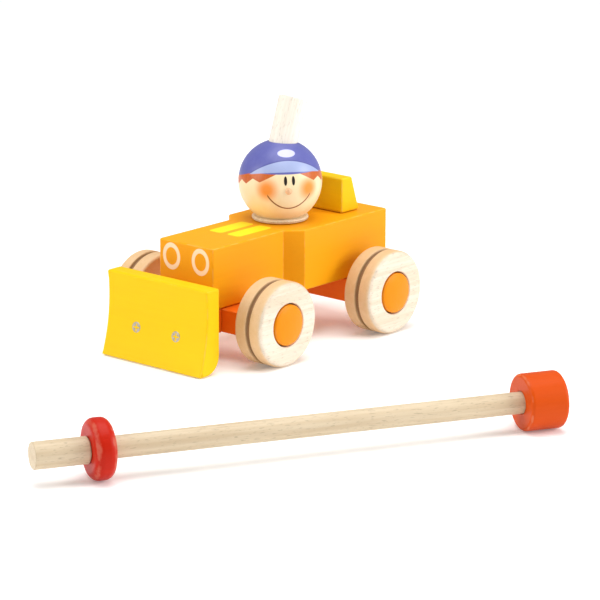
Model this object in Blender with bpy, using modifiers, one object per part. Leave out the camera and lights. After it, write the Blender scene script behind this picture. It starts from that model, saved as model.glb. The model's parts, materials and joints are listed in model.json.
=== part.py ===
"""Wooden push along truck with a dozer blade, a driver and a push stick.

The truck faces -Y, its left side is +X and +Z is up.  Everything stands on the plane z = 0 and the
origin is the middle of the footprint of the truck and the push stick lying beside it.
Most sizes are given in the truck's own frame: x = 0 is its middle plane, y = 0 is the front of the
hood, z = 0 is the floor.  TRUCK_ORIGIN is where that frame's origin lies.
"""

from math import asin, cos, pi, radians, sin, sqrt

import bmesh
import bpy
from mathutils import Matrix, Vector

MM = 0.001

# ---------------------------------------------------------------- driving dimensions
GLUE_GAP = 0.3 * MM          # between two pieces that are glued or screwed face to face
HOLE_CLEARANCE = 0.3 * MM    # on the radius, round a dowel, peg or screw
EDGE_ROUND = 0.9 * MM        # sanded edges of the body
BLOCK_ROUND = 0.7 * MM       # sanded edges of the blocks below it
BLADE_ROUND = 1.2 * MM
SEAT_ROUND = 1.0 * MM
EDGE_BREAK = 0.5 * MM        # small chamfers on turned ends, bores and grooves
DOWEL_CHAMFER = 0.6 * MM
DRILL_LEAD = 2.0 * MM        # a drill starts this far outside the wood
DRILL_SPARE = 1.0 * MM       # a blind hole is this much deeper than what goes in it

# body block: hood in front, wider cab behind, both cut from one board
HOOD_WIDTH = 42.0 * MM
HOOD_LENGTH = 61.0 * MM
CAB_WIDTH = 60.0 * MM
CAB_LENGTH = 75.0 * MM
BODY_THICKNESS = 36.5 * MM

# wheels, axles and the blocks that carry them
WHEEL_DIAMETER = 50.0 * MM
WHEEL_WIDTH = 19.5 * MM
WHEEL_FACE_ROUND = 3.2 * MM
WHEEL_BACK_ROUND = 1.6 * MM
TREAD_GROOVE_WIDTH = 3.2 * MM
TREAD_GROOVE_DEPTH = 1.6 * MM
HUB_RECESS_DEPTH = 6.5 * MM
HUB_CAP_DIAMETER = 24.0 * MM
HUB_CAP_PLAY = 0.8 * MM      # on the radius, between the cap and the wheel's recess
HUB_CAP_EDGE = 6.6 * MM      # height of the cap's side and its round
HUB_CAP_DOME = 2.0 * MM
HUB_CAP_ROUND = 1.2 * MM     # between the dome and the side
HUB_CAP_CHAMFER = 0.3 * MM
HUB_CAP_HOLE_DEPTH = 4.0 * MM        # for the axle's end
AXLE_DIAMETER = 8.0 * MM
WHEEL_PLAY = 0.8 * MM        # side play between the wheel and its neighbours
FRONT_AXLE_SETBACK = 22.5 * MM
REAR_OVERHANG = 26.0 * MM    # from the rear axle to the cab's rear
AXLE_BLOCK_LENGTH = 24.0 * MM
FRONT_BLOCK_REACH = 2.5 * MM         # how much further forward the front block reaches
AXLE_ROOF = 1.4 * MM         # wood of the block above the axle's hole
AXLE_FLOOR = 3.9 * MM        # and below it
AXLE_BLOCK_HALF_SPAN = 38.7 * MM

# blade
BLADE_WIDTH = 78.0 * MM
BLADE_TOP = 50.5 * MM
BLADE_FLOOR_GAP = 0.5 * MM
BLADE_SETOUT = 14.0 * MM     # from the hood's front to the blade's back
BLADE_TOP_THICKNESS = 11.0 * MM
BLADE_TOE_REACH = 16.6 * MM  # from the blade's back to its cutting edge
BLADE_HOLLOW = 2.9 * MM      # how deep the front is hollowed, from its top edge to its toe
BLADE_HEEL_ROUND = 11.0 * MM
BLADE_SCREW_INSET = 3.2 * MM         # above the carrier's underside
BLADE_SCREW_SPACING = 31.0 * MM

# screws
SCREW_HEAD_DIAMETER = 6.6 * MM
SCREW_SHANK_DIAMETER = 3.5 * MM
SCREW_HEAD_RECESS = 0.5 * MM
SCREW_RIM = 0.4 * MM         # height of the head's straight edge
SCREW_RIM_CHAMFER = 0.25 * MM
SCREW_POINT = 4.0 * MM       # length of the tapered point
SCREW_TIP = 0.4 * MM         # its blunt end
BLADE_SCREW_LENGTH = 22.0 * MM
CHASSIS_SCREW_LENGTH = 30.0 * MM
CHASSIS_SCREW_OFFSET = 8.0 * MM      # from the axle's line
FRONT_SCREW_SPACING = 28.0 * MM
REAR_SCREW_SPACING = 44.0 * MM
CARRIER_SCREW_SPACING = 14.0 * MM
CARRIER_SCREW_SETBACK = 3.8 * MM

# driver
HEAD_DIAMETER = 49.6 * MM
HEAD_BEHIND_FLARE = 12.2 * MM        # from the cab's front corners to the ball's centre
HEAD_SINK = 1.9 * MM         # how far the full ball would reach below its flat base
COLLAR_DIAMETER = 33.6 * MM
COLLAR_THICKNESS = 2.4 * MM
HEAD_DOWEL_DIAMETER = 10.0 * MM
HEAD_DOWEL_IN_BODY = 21.0 * MM
HEAD_DOWEL_IN_HEAD = 14.0 * MM
NOSE_DIAMETER = 4.0 * MM
FACE_TURN = radians(53.0)    # the face is turned from straight ahead to the truck's left
FACE_DROP = radians(-2.5)    # the nose's height on the ball, as an angle

# seat back behind the driver
SEAT_BEHIND_HEAD = 8.2 * MM  # clear space between the ball and the seat back
SEAT_WIDTH = 40.0 * MM
SEAT_HEIGHT = 21.0 * MM
SEAT_BASE_DEPTH = 16.3 * MM
SEAT_TOP_DEPTH = 9.2 * MM
SEAT_DOWEL_DIAMETER = 6.0 * MM
SEAT_DOWEL_SPACING = 22.0 * MM
SEAT_DOWEL_INSET = 5.6 * MM  # from the seat's front face
SEAT_DOWEL_DEPTH = 11.0 * MM

# stub of the stick in the driver's head
STUB_LEAN = radians(19.5)    # it leans back from upright
STUB_FORWARD = 5.5 * MM      # its axis passes this far in front of the ball's centre
STUB_DIAMETER = 17.0 * MM
STUB_BELOW_CENTRE = 0.7 * MM
STUB_ABOVE_CENTRE = 51.0 * MM

# push stick
LOWER_ROD_DIAMETER = 14.6 * MM
LOWER_ROD_LENGTH = 40.5 * MM
DOWEL_DIAMETER = 12.0 * MM
DOWEL_TENON_DIAMETER = 8.0 * MM
DOWEL_IN_LOWER_ROD = 16.0 * MM
DOWEL_IN_KNOB = 16.0 * MM
RING_DIAMETER = 33.0 * MM
RING_THICKNESS = 12.0 * MM
RING_ROUND = 4.5 * MM
KNOB_DIAMETER = 31.4 * MM
KNOB_LENGTH = 22.4 * MM
KNOB_ROUND = 2.0 * MM
RING_TO_KNOB = 250.0 * MM    # between their centres
STICK_HEADING = radians(62.5)        # of the lying stick, from +X towards +Y
RING_PLACE = (123.1 * MM, -199.3 * MM)       # the lying ring's centre, in the truck's frame
FLOOR_GAP = 0.1 * MM         # under the lying stick

# facets
MERGE_DISTANCE = 0.001 * MM
SHARP_ANGLE = radians(40.0)
WHEEL_STEPS = 36
ROUND_STEPS = 32
SMALL_STEPS = 20
SCREW_STEPS = 12
PEG_STEPS = 16
PROFILE_STEPS = 3
EDGE_STEPS = 2
BEAD_STEPS = 4               # on the collar's half-round edge
RING_STEPS = 4               # on each of the stick ring's rounded edges
BLADE_FRONT_STEPS = 9
HEEL_STEPS = 6
HEAD_BANDS = 18              # from the ball's top to its bottom
NOSE_STEPS = 12
NOSE_BANDS = 8

# ---------------------------------------------------------------- worked out from them
AXLE_HEIGHT = WHEEL_DIAMETER / 2
AXLE_HOLE_RADIUS = AXLE_DIAMETER / 2 + HOLE_CLEARANCE
AXLE_BLOCK_TOP = AXLE_HEIGHT + AXLE_HOLE_RADIUS + AXLE_ROOF
AXLE_BLOCK_BOTTOM = AXLE_HEIGHT - AXLE_HOLE_RADIUS - AXLE_FLOOR
AXLE_BLOCK_HEIGHT = AXLE_BLOCK_TOP - AXLE_BLOCK_BOTTOM
BODY_BOTTOM = AXLE_BLOCK_TOP + GLUE_GAP
BODY_TOP = BODY_BOTTOM + BODY_THICKNESS
FLARE = (CAB_WIDTH - HOOD_WIDTH) / 2        # the cab's front corners are cut at 45 degrees
CAB_FRONT = HOOD_LENGTH + FLARE
BODY_LENGTH = CAB_FRONT + CAB_LENGTH
REAR_AXLE_SETBACK = BODY_LENGTH - REAR_OVERHANG
WHEEL_INNER_FACE = AXLE_BLOCK_HALF_SPAN + WHEEL_PLAY
TRACK_HALF = WHEEL_INNER_FACE + WHEEL_WIDTH
BASE_LEVEL = BODY_TOP + GLUE_GAP            # underside of what is glued on the body
HEAD_RADIUS = HEAD_DIAMETER / 2
HEAD_SETBACK = CAB_FRONT + HEAD_BEHIND_FLARE
HEAD_CENTRE_HEIGHT = BASE_LEVEL + HEAD_RADIUS - HEAD_SINK
SEAT_SETBACK = HEAD_SETBACK + HEAD_RADIUS + SEAT_BEHIND_HEAD
HUB_RECESS_RADIUS = HUB_CAP_DIAMETER / 2 + HUB_CAP_PLAY
HUB_CAP_SEAT = TRACK_HALF - HUB_RECESS_DEPTH + WHEEL_PLAY / 2
BLADE_BACK = -BLADE_SETOUT
BLADE_SCREW_HEIGHT = AXLE_BLOCK_BOTTOM + BLADE_SCREW_INSET
RING_RADIUS = RING_DIAMETER / 2
KNOB_RADIUS = KNOB_DIAMETER / 2

RING_HEIGHT = RING_RADIUS + FLOOR_GAP
KNOB_HEIGHT = KNOB_RADIUS + FLOOR_GAP
STICK_DIP = (RING_HEIGHT - KNOB_HEIGHT) / RING_TO_KNOB

# a board's own X, Y and thickness become the truck's Y, Z and X
ACROSS = Matrix(((0, 0, 1, 0), (1, 0, 0, 0), (0, 1, 0, 0), (0, 0, 0, 1)))

# the footprint of truck and stick, for the origin
STICK_DX = cos(STICK_HEADING)
STICK_DY = sin(STICK_HEADING)
KNOB_REACH_X = (
    (KNOB_LENGTH / 2 - KNOB_ROUND) * STICK_DX + (KNOB_RADIUS - KNOB_ROUND) * STICK_DY + KNOB_ROUND
)
FOOT_LEFT = HUB_CAP_SEAT + HUB_CAP_EDGE + HUB_CAP_DOME
FOOT_RIGHT = RING_PLACE[0] + RING_TO_KNOB * STICK_DX + KNOB_REACH_X
FOOT_FRONT = (
    RING_PLACE[1]
    - (LOWER_ROD_LENGTH - RING_THICKNESS / 2) * STICK_DY
    - LOWER_ROD_DIAMETER / 2 * STICK_DX
)
TRUCK_ORIGIN = Vector((
    -(FOOT_RIGHT - FOOT_LEFT) / 2,
    -(FOOT_FRONT + BODY_LENGTH) / 2,
    0.0,
))

# ---------------------------------------------------------------- the scene's two collections
for old in list(bpy.data.objects):
    bpy.data.objects.remove(old, do_unlink=True)

toy = bpy.data.collections.new("push_along_truck")
tools = bpy.data.collections.new("cutters")
bpy.context.scene.collection.children.link(toy)
bpy.context.scene.collection.children.link(tools)


# ---------------------------------------------------------------- finishes
# each is a colour, a roughness and a metallic value
ORANGE = ((0.90, 0.37, 0.012), 0.42, 0.0)
RED_ORANGE = ((0.72, 0.10, 0.008), 0.42, 0.0)
YELLOW = ((0.93, 0.66, 0.004), 0.42, 0.0)
CAP_ORANGE = ((0.90, 0.27, 0.008), 0.35, 0.0)
RING_RED = ((0.58, 0.022, 0.006), 0.35, 0.0)
KNOB_ORANGE = ((0.75, 0.09, 0.005), 0.38, 0.0)
BEECH = ((0.80, 0.66, 0.46), 0.6, 0.0)
PALE_BEECH = ((0.85, 0.72, 0.52), 0.5, 0.0)
STEEL = ((0.45, 0.42, 0.38), 0.35, 1.0)


def make_material(name, look):
    """A Principled material for one piece."""
    colour, roughness, metallic = look
    material = bpy.data.materials.new(name)
    material.use_nodes = True
    shader = material.node_tree.nodes["Principled BSDF"]
    shader.inputs["Base Color"].default_value = (*colour, 1.0)
    shader.inputs["Roughness"].default_value = roughness
    shader.inputs["Metallic"].default_value = metallic
    material.diffuse_color = (*colour, 1.0)
    return material


# ---------------------------------------------------------------- making and placing pieces
def add(name, mesh, look, collection=toy):
    """Link a new object that carries this mesh and a material of its own; a cutter has no look."""
    piece = bpy.data.objects.new(name, mesh)
    collection.objects.link(piece)
    if look is not None:
        mesh.materials.clear()
        mesh.materials.append(make_material(name, look))
    return piece


def on_truck(piece, x, y, z, turn=(0.0, 0.0, 0.0)):
    """Place a piece by its origin in the truck's frame."""
    piece.location = TRUCK_ORIGIN + Vector((x, y, z))
    piece.rotation_euler = turn
    return piece


def round_edges(piece, width=EDGE_ROUND):
    """Round every edge that turns by more than the sharp angle."""
    bevel = piece.modifiers.new("sanded_edges", "BEVEL")
    bevel.width = width
    bevel.segments = EDGE_STEPS
    bevel.limit_method = "ANGLE"
    bevel.angle_limit = SHARP_ANGLE


def turned(name, profile, look, steps=ROUND_STEPS, closed=False, collection=toy):
    """A lathe piece about its own Z axis.

    The profile is a list of (radius, height) that runs down the outer side.  A closed profile goes
    round a bore, an open one starts and ends on the axis.
    """
    mesh = bpy.data.meshes.new(name)
    points = [(radius, 0.0, height) for radius, height in profile]
    edges = [(i, i + 1) for i in range(len(points) - 1)]
    if closed:
        edges.append((len(points) - 1, 0))
    mesh.from_pydata(points, edges, [])
    piece = add(name, mesh, look, collection)
    lathe = piece.modifiers.new("lathe", "SCREW")
    lathe.axis = "Z"
    lathe.angle = 2 * pi
    lathe.screw_offset = 0.0
    lathe.steps = steps
    lathe.render_steps = steps
    lathe.use_merge_vertices = True
    lathe.merge_threshold = MERGE_DISTANCE
    lathe.use_smooth_shade = True
    return piece


def arc(centre, radius, start, end, steps=PROFILE_STEPS):
    """Points along an arc from one angle to another, in degrees."""
    return [
        (
            centre[0] + radius * cos(radians(start + (end - start) * i / steps)),
            centre[1] + radius * sin(radians(start + (end - start) * i / steps)),
        )
        for i in range(steps + 1)
    ]


def board(name, outline, thickness, look):
    """A flat board: the outline lies in its own XY plane, the thickness is centred on it."""
    curve = bpy.data.curves.new(name + "_outline", "CURVE")
    curve.dimensions = "2D"
    curve.fill_mode = "BOTH"
    curve.extrude = thickness / 2
    spline = curve.splines.new("POLY")
    spline.points.add(len(outline) - 1)
    for point, (x, y) in zip(spline.points, outline):
        point.co = (x, y, 0.0, 1.0)
    spline.use_cyclic_u = True
    flat = bpy.data.objects.new(name + "_flat", curve)
    bpy.context.scene.collection.objects.link(flat)
    evaluated = flat.evaluated_get(bpy.context.evaluated_depsgraph_get())
    mesh = bpy.data.meshes.new_from_object(evaluated)
    bpy.data.objects.remove(flat, do_unlink=True)
    bpy.data.curves.remove(curve)
    shape = bmesh.new()
    shape.from_mesh(mesh)
    bmesh.ops.remove_doubles(shape, verts=shape.verts, dist=MERGE_DISTANCE)
    bmesh.ops.recalc_face_normals(shape, faces=shape.faces)
    shape.to_mesh(mesh)
    shape.free()
    mesh.name = name
    return add(name, mesh, look)


def box(name, size, look, collection=toy):
    """A box centred on its own origin."""
    mesh = bpy.data.meshes.new(name)
    shape = bmesh.new()
    bmesh.ops.create_cube(shape, size=1.0)
    bmesh.ops.scale(shape, vec=size, verts=shape.verts)
    shape.to_mesh(mesh)
    shape.free()
    return add(name, mesh, look, collection)


def ball(name, radius, look, steps, bands, collection=toy):
    """A ball centred on its own origin, smooth but for the edges that are cut into it."""
    mesh = bpy.data.meshes.new(name)
    shape = bmesh.new()
    bmesh.ops.create_uvsphere(shape, u_segments=steps, v_segments=bands, radius=radius)
    shape.to_mesh(mesh)
    shape.free()
    mesh.shade_smooth()
    return add(name, mesh, look, collection)


def rod(name, radius, length, look, steps=SMALL_STEPS):
    """A dowel along its own Z, centred on its origin, with chamfered ends."""
    half = length / 2
    return turned(
        name,
        [
            (0.0, half),
            (radius - DOWEL_CHAMFER, half),
            (radius, half - DOWEL_CHAMFER),
            (radius, DOWEL_CHAMFER - half),
            (radius - DOWEL_CHAMFER, -half),
            (0.0, -half),
        ],
        look,
        steps,
    )


def hole_shape(radius, depth, lead=DRILL_LEAD):
    """Profile of a drilled hole that starts a little outside the wood."""
    return [(0.0, depth), (radius, depth), (radius, -lead), (0.0, -lead)]


def drill(pieces, name, start, direction, profile, steps=SMALL_STEPS):
    """Cut a turned shape out of some pieces.

    The profile's zero height is at the start, a point in the truck's frame, and its heights grow
    along the direction.
    """
    cutter = turned("cut_" + name, profile, None, steps, collection=tools)
    cutter.location = TRUCK_ORIGIN + Vector(start)
    cutter.rotation_euler = Vector(direction).to_track_quat("Z", "Y").to_euler()
    cut_with(pieces, cutter)


def cut_with(pieces, cutter):
    """Take a cutter's shape out of some pieces."""
    cutter.hide_render = True
    cutter.display_type = "WIRE"
    for piece in pieces:
        cut = piece.modifiers.new(cutter.name, "BOOLEAN")
        cut.operation = "DIFFERENCE"
        cut.solver = "EXACT"
        cut.object = cutter


# ---------------------------------------------------------------- body and chassis
def make_body():
    """The board that is the hood and the cab, seen from above."""
    hood = HOOD_WIDTH / 2
    cab = CAB_WIDTH / 2
    outline = [
        (-hood, 0.0),
        (hood, 0.0),
        (hood, HOOD_LENGTH),
        (cab, CAB_FRONT),
        (cab, BODY_LENGTH),
        (-cab, BODY_LENGTH),
        (-cab, CAB_FRONT),
        (-hood, HOOD_LENGTH),
    ]
    body = board("body_block", outline, BODY_THICKNESS, ORANGE)
    round_edges(body)
    return on_truck(body, 0.0, 0.0, BODY_BOTTOM + BODY_THICKNESS / 2)


def make_axle_block(end, setback, reach=0.0):
    """A block across the body over its axle, which may reach a little further forward."""
    size = (2 * AXLE_BLOCK_HALF_SPAN, AXLE_BLOCK_LENGTH + reach, AXLE_BLOCK_HEIGHT)
    block = box(f"{end}_axle_block", size, RED_ORANGE)
    round_edges(block, BLOCK_ROUND)
    return on_truck(block, 0.0, setback - reach / 2, AXLE_BLOCK_TOP - AXLE_BLOCK_HEIGHT / 2)


def make_blade_carrier():
    """The block under the hood's front that holds the blade out, butted on the axle block."""
    front = BLADE_BACK + GLUE_GAP
    rear = FRONT_AXLE_SETBACK - AXLE_BLOCK_LENGTH / 2 - FRONT_BLOCK_REACH - GLUE_GAP
    carrier = box("blade_carrier", (HOOD_WIDTH, rear - front, AXLE_BLOCK_HEIGHT), RED_ORANGE)
    round_edges(carrier, BLOCK_ROUND)
    return on_truck(carrier, 0.0, (front + rear) / 2, AXLE_BLOCK_TOP - AXLE_BLOCK_HEIGHT / 2)


def make_screw(name, length):
    """A countersunk wood screw whose head is at its origin and whose tip points along +Z."""
    head = SCREW_HEAD_DIAMETER / 2
    shank = SCREW_SHANK_DIAMETER / 2
    profile = [
        (0.0, length),
        (shank / 4, length - SCREW_TIP),
        (shank, length - SCREW_POINT),
        (shank, SCREW_RIM + head - shank),
        (head, SCREW_RIM),
        (head - SCREW_RIM_CHAMFER, 0.0),
        (0.0, 0.0),
    ]
    return turned(name, profile, STEEL, SCREW_STEPS)


def screw_hole(pieces, name, start, direction, length):
    """The countersunk hole for one screw, whose head lies a little below the surface."""
    shank = SCREW_SHANK_DIAMETER / 2 + HOLE_CLEARANCE
    head = SCREW_HEAD_DIAMETER / 2 + HOLE_CLEARANCE
    deep = SCREW_HEAD_RECESS + length + DRILL_SPARE
    rim = SCREW_HEAD_RECESS + SCREW_RIM + HOLE_CLEARANCE
    profile = [
        (0.0, deep),
        (shank, deep),
        (shank, rim + head - shank),
        (head, rim),
        (head, -DRILL_LEAD),
        (0.0, -DRILL_LEAD),
    ]
    drill(pieces, name, start, direction, profile, SCREW_STEPS)


def screw_blocks_to_body(body, blocks, carrier):
    """Two upright screws hold each block under the body, from below."""
    places = [
        ("front", blocks[0], FRONT_AXLE_SETBACK, FRONT_SCREW_SPACING, CHASSIS_SCREW_OFFSET),
        ("rear", blocks[1], REAR_AXLE_SETBACK, REAR_SCREW_SPACING, CHASSIS_SCREW_OFFSET),
        ("carrier", carrier, CARRIER_SCREW_SETBACK, CARRIER_SCREW_SPACING, 0.0),
    ]
    for where, block, middle, spacing, offset in places:
        for side, sign in (("left", 1), ("right", -1)):
            name = f"chassis_screw_{where}_{side}"
            x = sign * spacing / 2
            y = middle + sign * offset
            screw_hole([block, body], name, (x, y, AXLE_BLOCK_BOTTOM), (0, 0, 1), CHASSIS_SCREW_LENGTH)
            screw = make_screw(name, CHASSIS_SCREW_LENGTH)
            on_truck(screw, x, y, AXLE_BLOCK_BOTTOM + SCREW_HEAD_RECESS)


# ---------------------------------------------------------------- blade
def blade_front_at(height):
    """The y of the blade's hollow front at a height: an arc through its top edge and its toe."""
    top = Vector((BLADE_BACK - BLADE_TOP_THICKNESS, BLADE_TOP))
    toe = Vector((BLADE_BACK - BLADE_TOE_REACH, BLADE_FLOOR_GAP))
    chord = (top - toe).length
    radius = (chord * chord / 4 + BLADE_HOLLOW * BLADE_HOLLOW) / (2 * BLADE_HOLLOW)
    middle = (top + toe) / 2
    along = (top - toe) / chord
    forward = Vector((-along.y, along.x))
    centre = middle + forward * (radius - BLADE_HOLLOW)
    return centre.x + sqrt(radius * radius - (height - centre.y) ** 2)


def make_blade():
    """The blade's side outline, drawn in the YZ plane and extruded across the truck."""
    rise = BLADE_TOP - BLADE_FLOOR_GAP
    front = []
    for i in range(BLADE_FRONT_STEPS + 1):
        height = BLADE_TOP - rise * i / BLADE_FRONT_STEPS
        front.append((blade_front_at(height), height))
    heel = (BLADE_BACK - BLADE_HEEL_ROUND, BLADE_FLOOR_GAP + BLADE_HEEL_ROUND)
    outline = front + arc(heel, BLADE_HEEL_ROUND, -90, 0, HEEL_STEPS) + [(BLADE_BACK, BLADE_TOP)]
    blade = board("blade", outline, BLADE_WIDTH, YELLOW)
    blade.data.transform(ACROSS)
    round_edges(blade, BLADE_ROUND)
    return on_truck(blade, 0.0, 0.0, 0.0)


def screw_on_blade(blade, carrier):
    """Two screws through the hollow of the blade into its carrier."""
    start = blade_front_at(BLADE_SCREW_HEIGHT)
    for side, sign in (("left", 1), ("right", -1)):
        name = f"blade_screw_{side}"
        x = sign * BLADE_SCREW_SPACING / 2
        screw_hole([blade, carrier], name, (x, start, BLADE_SCREW_HEIGHT), (0, 1, 0), BLADE_SCREW_LENGTH)
        screw = make_screw(name, BLADE_SCREW_LENGTH)
        on_truck(screw, x, start + SCREW_HEAD_RECESS, BLADE_SCREW_HEIGHT, (-pi / 2, 0.0, 0.0))


# ---------------------------------------------------------------- wheels and axles
def wheel_profile():
    """Half section of a wheel about its axis: the outer face is up, the back face is z = 0."""
    rim = WHEEL_DIAMETER / 2
    width = WHEEL_WIDTH
    hub = HUB_RECESS_RADIUS
    face = WHEEL_FACE_ROUND
    back = WHEEL_BACK_ROUND
    groove_top = (width + TREAD_GROOVE_WIDTH) / 2
    groove_low = (width - TREAD_GROOVE_WIDTH) / 2
    return [
        (AXLE_HOLE_RADIUS, width - HUB_RECESS_DEPTH),
        (hub, width - HUB_RECESS_DEPTH),
        (hub, width - EDGE_BREAK),
        (hub + EDGE_BREAK, width),
        *arc((rim - face, width - face), face, 90, 0),
        (rim, groove_top),
        (rim - TREAD_GROOVE_DEPTH, groove_top - EDGE_BREAK),
        (rim - TREAD_GROOVE_DEPTH, groove_low + EDGE_BREAK),
        (rim, groove_low),
        *arc((rim - back, back), back, 0, -90, EDGE_STEPS),
        (AXLE_HOLE_RADIUS, 0.0),
    ]


def hub_cap_profile():
    """Half section of a hub cap: a low dome, a straight side and a blind hole for the axle's end."""
    side = HUB_CAP_DIAMETER / 2
    reach = side - HUB_CAP_ROUND
    dome_radius = (reach**2 + HUB_CAP_DOME**2) / (2 * HUB_CAP_DOME)
    dome_centre = HUB_CAP_EDGE + HUB_CAP_DOME - dome_radius
    half_span = asin(reach / dome_radius)
    dome = [(0.0, HUB_CAP_EDGE + HUB_CAP_DOME)]
    for i in range(1, PROFILE_STEPS + 1):
        angle = half_span * i / PROFILE_STEPS
        dome.append((dome_radius * sin(angle), dome_centre + dome_radius * cos(angle)))
    return dome + [
        (side, HUB_CAP_EDGE - HUB_CAP_ROUND),
        (side, HUB_CAP_CHAMFER),
        (side - HUB_CAP_CHAMFER, 0.0),
        (AXLE_HOLE_RADIUS, 0.0),
        (AXLE_HOLE_RADIUS, HUB_CAP_HOLE_DEPTH),
        (0.0, HUB_CAP_HOLE_DEPTH),
    ]


def make_wheels():
    """Two fixed axles, each with two free wheels held on by glued hub caps."""
    axle_half = HUB_CAP_SEAT + HUB_CAP_HOLE_DEPTH - GLUE_GAP
    for end, setback in (("front", FRONT_AXLE_SETBACK), ("rear", REAR_AXLE_SETBACK)):
        axle = rod(f"{end}_axle", AXLE_DIAMETER / 2, 2 * axle_half, BEECH)
        on_truck(axle, 0.0, setback, AXLE_HEIGHT, (0.0, pi / 2, 0.0))
        for side, sign in (("left", 1), ("right", -1)):
            turn = (0.0, sign * pi / 2, 0.0)
            wheel = turned(f"wheel_{end}_{side}", wheel_profile(), BEECH, WHEEL_STEPS, closed=True)
            on_truck(wheel, sign * WHEEL_INNER_FACE, setback, AXLE_HEIGHT, turn)
            hub = turned(f"hub_cap_{end}_{side}", hub_cap_profile(), CAP_ORANGE)
            on_truck(hub, sign * HUB_CAP_SEAT, setback, AXLE_HEIGHT, turn)


def drill_axle_holes(blocks):
    """A hole for the axle right through each axle block."""
    through = hole_shape(AXLE_HOLE_RADIUS, 2 * AXLE_BLOCK_HALF_SPAN + DRILL_LEAD)
    for end, block, setback in (
        ("front", blocks[0], FRONT_AXLE_SETBACK),
        ("rear", blocks[1], REAR_AXLE_SETBACK),
    ):
        start = (-AXLE_BLOCK_HALF_SPAN, setback, AXLE_HEIGHT)
        drill([block], f"{end}_axle_hole", start, (1, 0, 0), through)


# ---------------------------------------------------------------- driver
def make_collar():
    """The ring under the head: the ball rests in its hole."""
    ball_height = HEAD_CENTRE_HEIGHT - BASE_LEVEL - COLLAR_THICKNESS
    hole = sqrt(HEAD_RADIUS**2 - ball_height**2) + HOLE_CLEARANCE
    bead = COLLAR_THICKNESS / 2
    edge = arc((COLLAR_DIAMETER / 2 - bead, bead), bead, 90, -90, BEAD_STEPS)
    profile = [(hole, COLLAR_THICKNESS), *edge, (hole, 0.0)]
    collar = turned("neck_collar", profile, PALE_BEECH, closed=True)
    on_truck(collar, 0.0, HEAD_SETBACK, BASE_LEVEL)


def make_head(body):
    """The ball head, flat underneath, and the dowel that pins it to the body."""
    head = ball("driver_head", HEAD_RADIUS, PALE_BEECH, ROUND_STEPS, HEAD_BANDS)
    on_truck(head, 0.0, HEAD_SETBACK, HEAD_CENTRE_HEIGHT)
    below = box("cut_head_base", (HEAD_DIAMETER, HEAD_DIAMETER, HEAD_RADIUS), None, tools)
    on_truck(below, 0.0, HEAD_SETBACK, BASE_LEVEL - HEAD_RADIUS / 2)
    cut_with([head], below)

    low = BODY_TOP - HEAD_DOWEL_IN_BODY
    high = BASE_LEVEL + HEAD_DOWEL_IN_HEAD
    dowel = rod("head_dowel", HEAD_DOWEL_DIAMETER / 2, high - low, BEECH)
    on_truck(dowel, 0.0, HEAD_SETBACK, (high + low) / 2)
    blind = hole_shape(HEAD_DOWEL_DIAMETER / 2 + HOLE_CLEARANCE, high - low + 2 * GLUE_GAP, 0.0)
    start = (0.0, HEAD_SETBACK, high + GLUE_GAP)
    drill([head, body], "head_dowel_hole", start, (0, 0, -1), blind)
    return head


def make_nose(head):
    """A small bead, half sunk in the face."""
    look = Vector((
        sin(FACE_TURN) * cos(FACE_DROP),
        -cos(FACE_TURN) * cos(FACE_DROP),
        sin(FACE_DROP),
    ))
    place = Vector((0.0, HEAD_SETBACK, HEAD_CENTRE_HEIGHT)) + look * HEAD_RADIUS
    radius = NOSE_DIAMETER / 2
    on_truck(ball("driver_nose", radius, PALE_BEECH, NOSE_STEPS, NOSE_BANDS), *place)
    dimple = ball(
        "cut_nose_dimple", radius + HOLE_CLEARANCE, None, NOSE_STEPS, NOSE_BANDS, collection=tools
    )
    on_truck(dimple, *place)
    cut_with([head], dimple)


def make_stub(head):
    """The stick's leaning stub, set in a blind hole in the driver's head."""
    length = STUB_ABOVE_CENTRE + STUB_BELOW_CENTRE
    radius = STUB_DIAMETER / 2
    stub = turned(
        "stick_stub",
        [
            (0.0, length),
            (radius - EDGE_BREAK, length),
            (radius, length - EDGE_BREAK),
            (radius, EDGE_BREAK),
            (radius - EDGE_BREAK, 0.0),
            (0.0, 0.0),
        ],
        BEECH,
    )
    axis = Vector((0.0, sin(STUB_LEAN), cos(STUB_LEAN)))
    centre = Vector((0.0, HEAD_SETBACK - STUB_FORWARD, HEAD_CENTRE_HEIGHT))
    bottom = centre - axis * STUB_BELOW_CENTRE
    on_truck(stub, *bottom, turn=(-STUB_LEAN, 0.0, 0.0))
    hole = hole_shape(radius + HOLE_CLEARANCE, HEAD_DIAMETER, 0.0)
    drill([head], "stub_hole", bottom - axis * GLUE_GAP, axis, hole, ROUND_STEPS)


# ---------------------------------------------------------------- seat back
def make_seat_back(body):
    """A wedge with an upright front, on two dowels."""
    outline = [
        (0.0, 0.0),
        (SEAT_BASE_DEPTH, 0.0),
        (SEAT_TOP_DEPTH, SEAT_HEIGHT),
        (0.0, SEAT_HEIGHT),
    ]
    seat = board("seat_back", outline, SEAT_WIDTH, YELLOW)
    seat.data.transform(ACROSS)
    round_edges(seat, SEAT_ROUND)
    on_truck(seat, 0.0, SEAT_SETBACK, BASE_LEVEL)

    radius = SEAT_DOWEL_DIAMETER / 2
    top = BASE_LEVEL + SEAT_DOWEL_DEPTH
    low = BODY_TOP - SEAT_DOWEL_DEPTH
    y = SEAT_SETBACK + SEAT_DOWEL_INSET
    blind = hole_shape(radius + HOLE_CLEARANCE, top - low + 2 * GLUE_GAP, 0.0)
    for side, sign in (("left", 1), ("right", -1)):
        x = sign * SEAT_DOWEL_SPACING / 2
        dowel = rod(f"seat_dowel_{side}", radius, top - low, BEECH, PEG_STEPS)
        on_truck(dowel, x, y, (top + low) / 2)
        start = (x, y, top + GLUE_GAP)
        drill([seat, body], f"seat_dowel_{side}_hole", start, (0, 0, -1), blind, PEG_STEPS)


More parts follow.
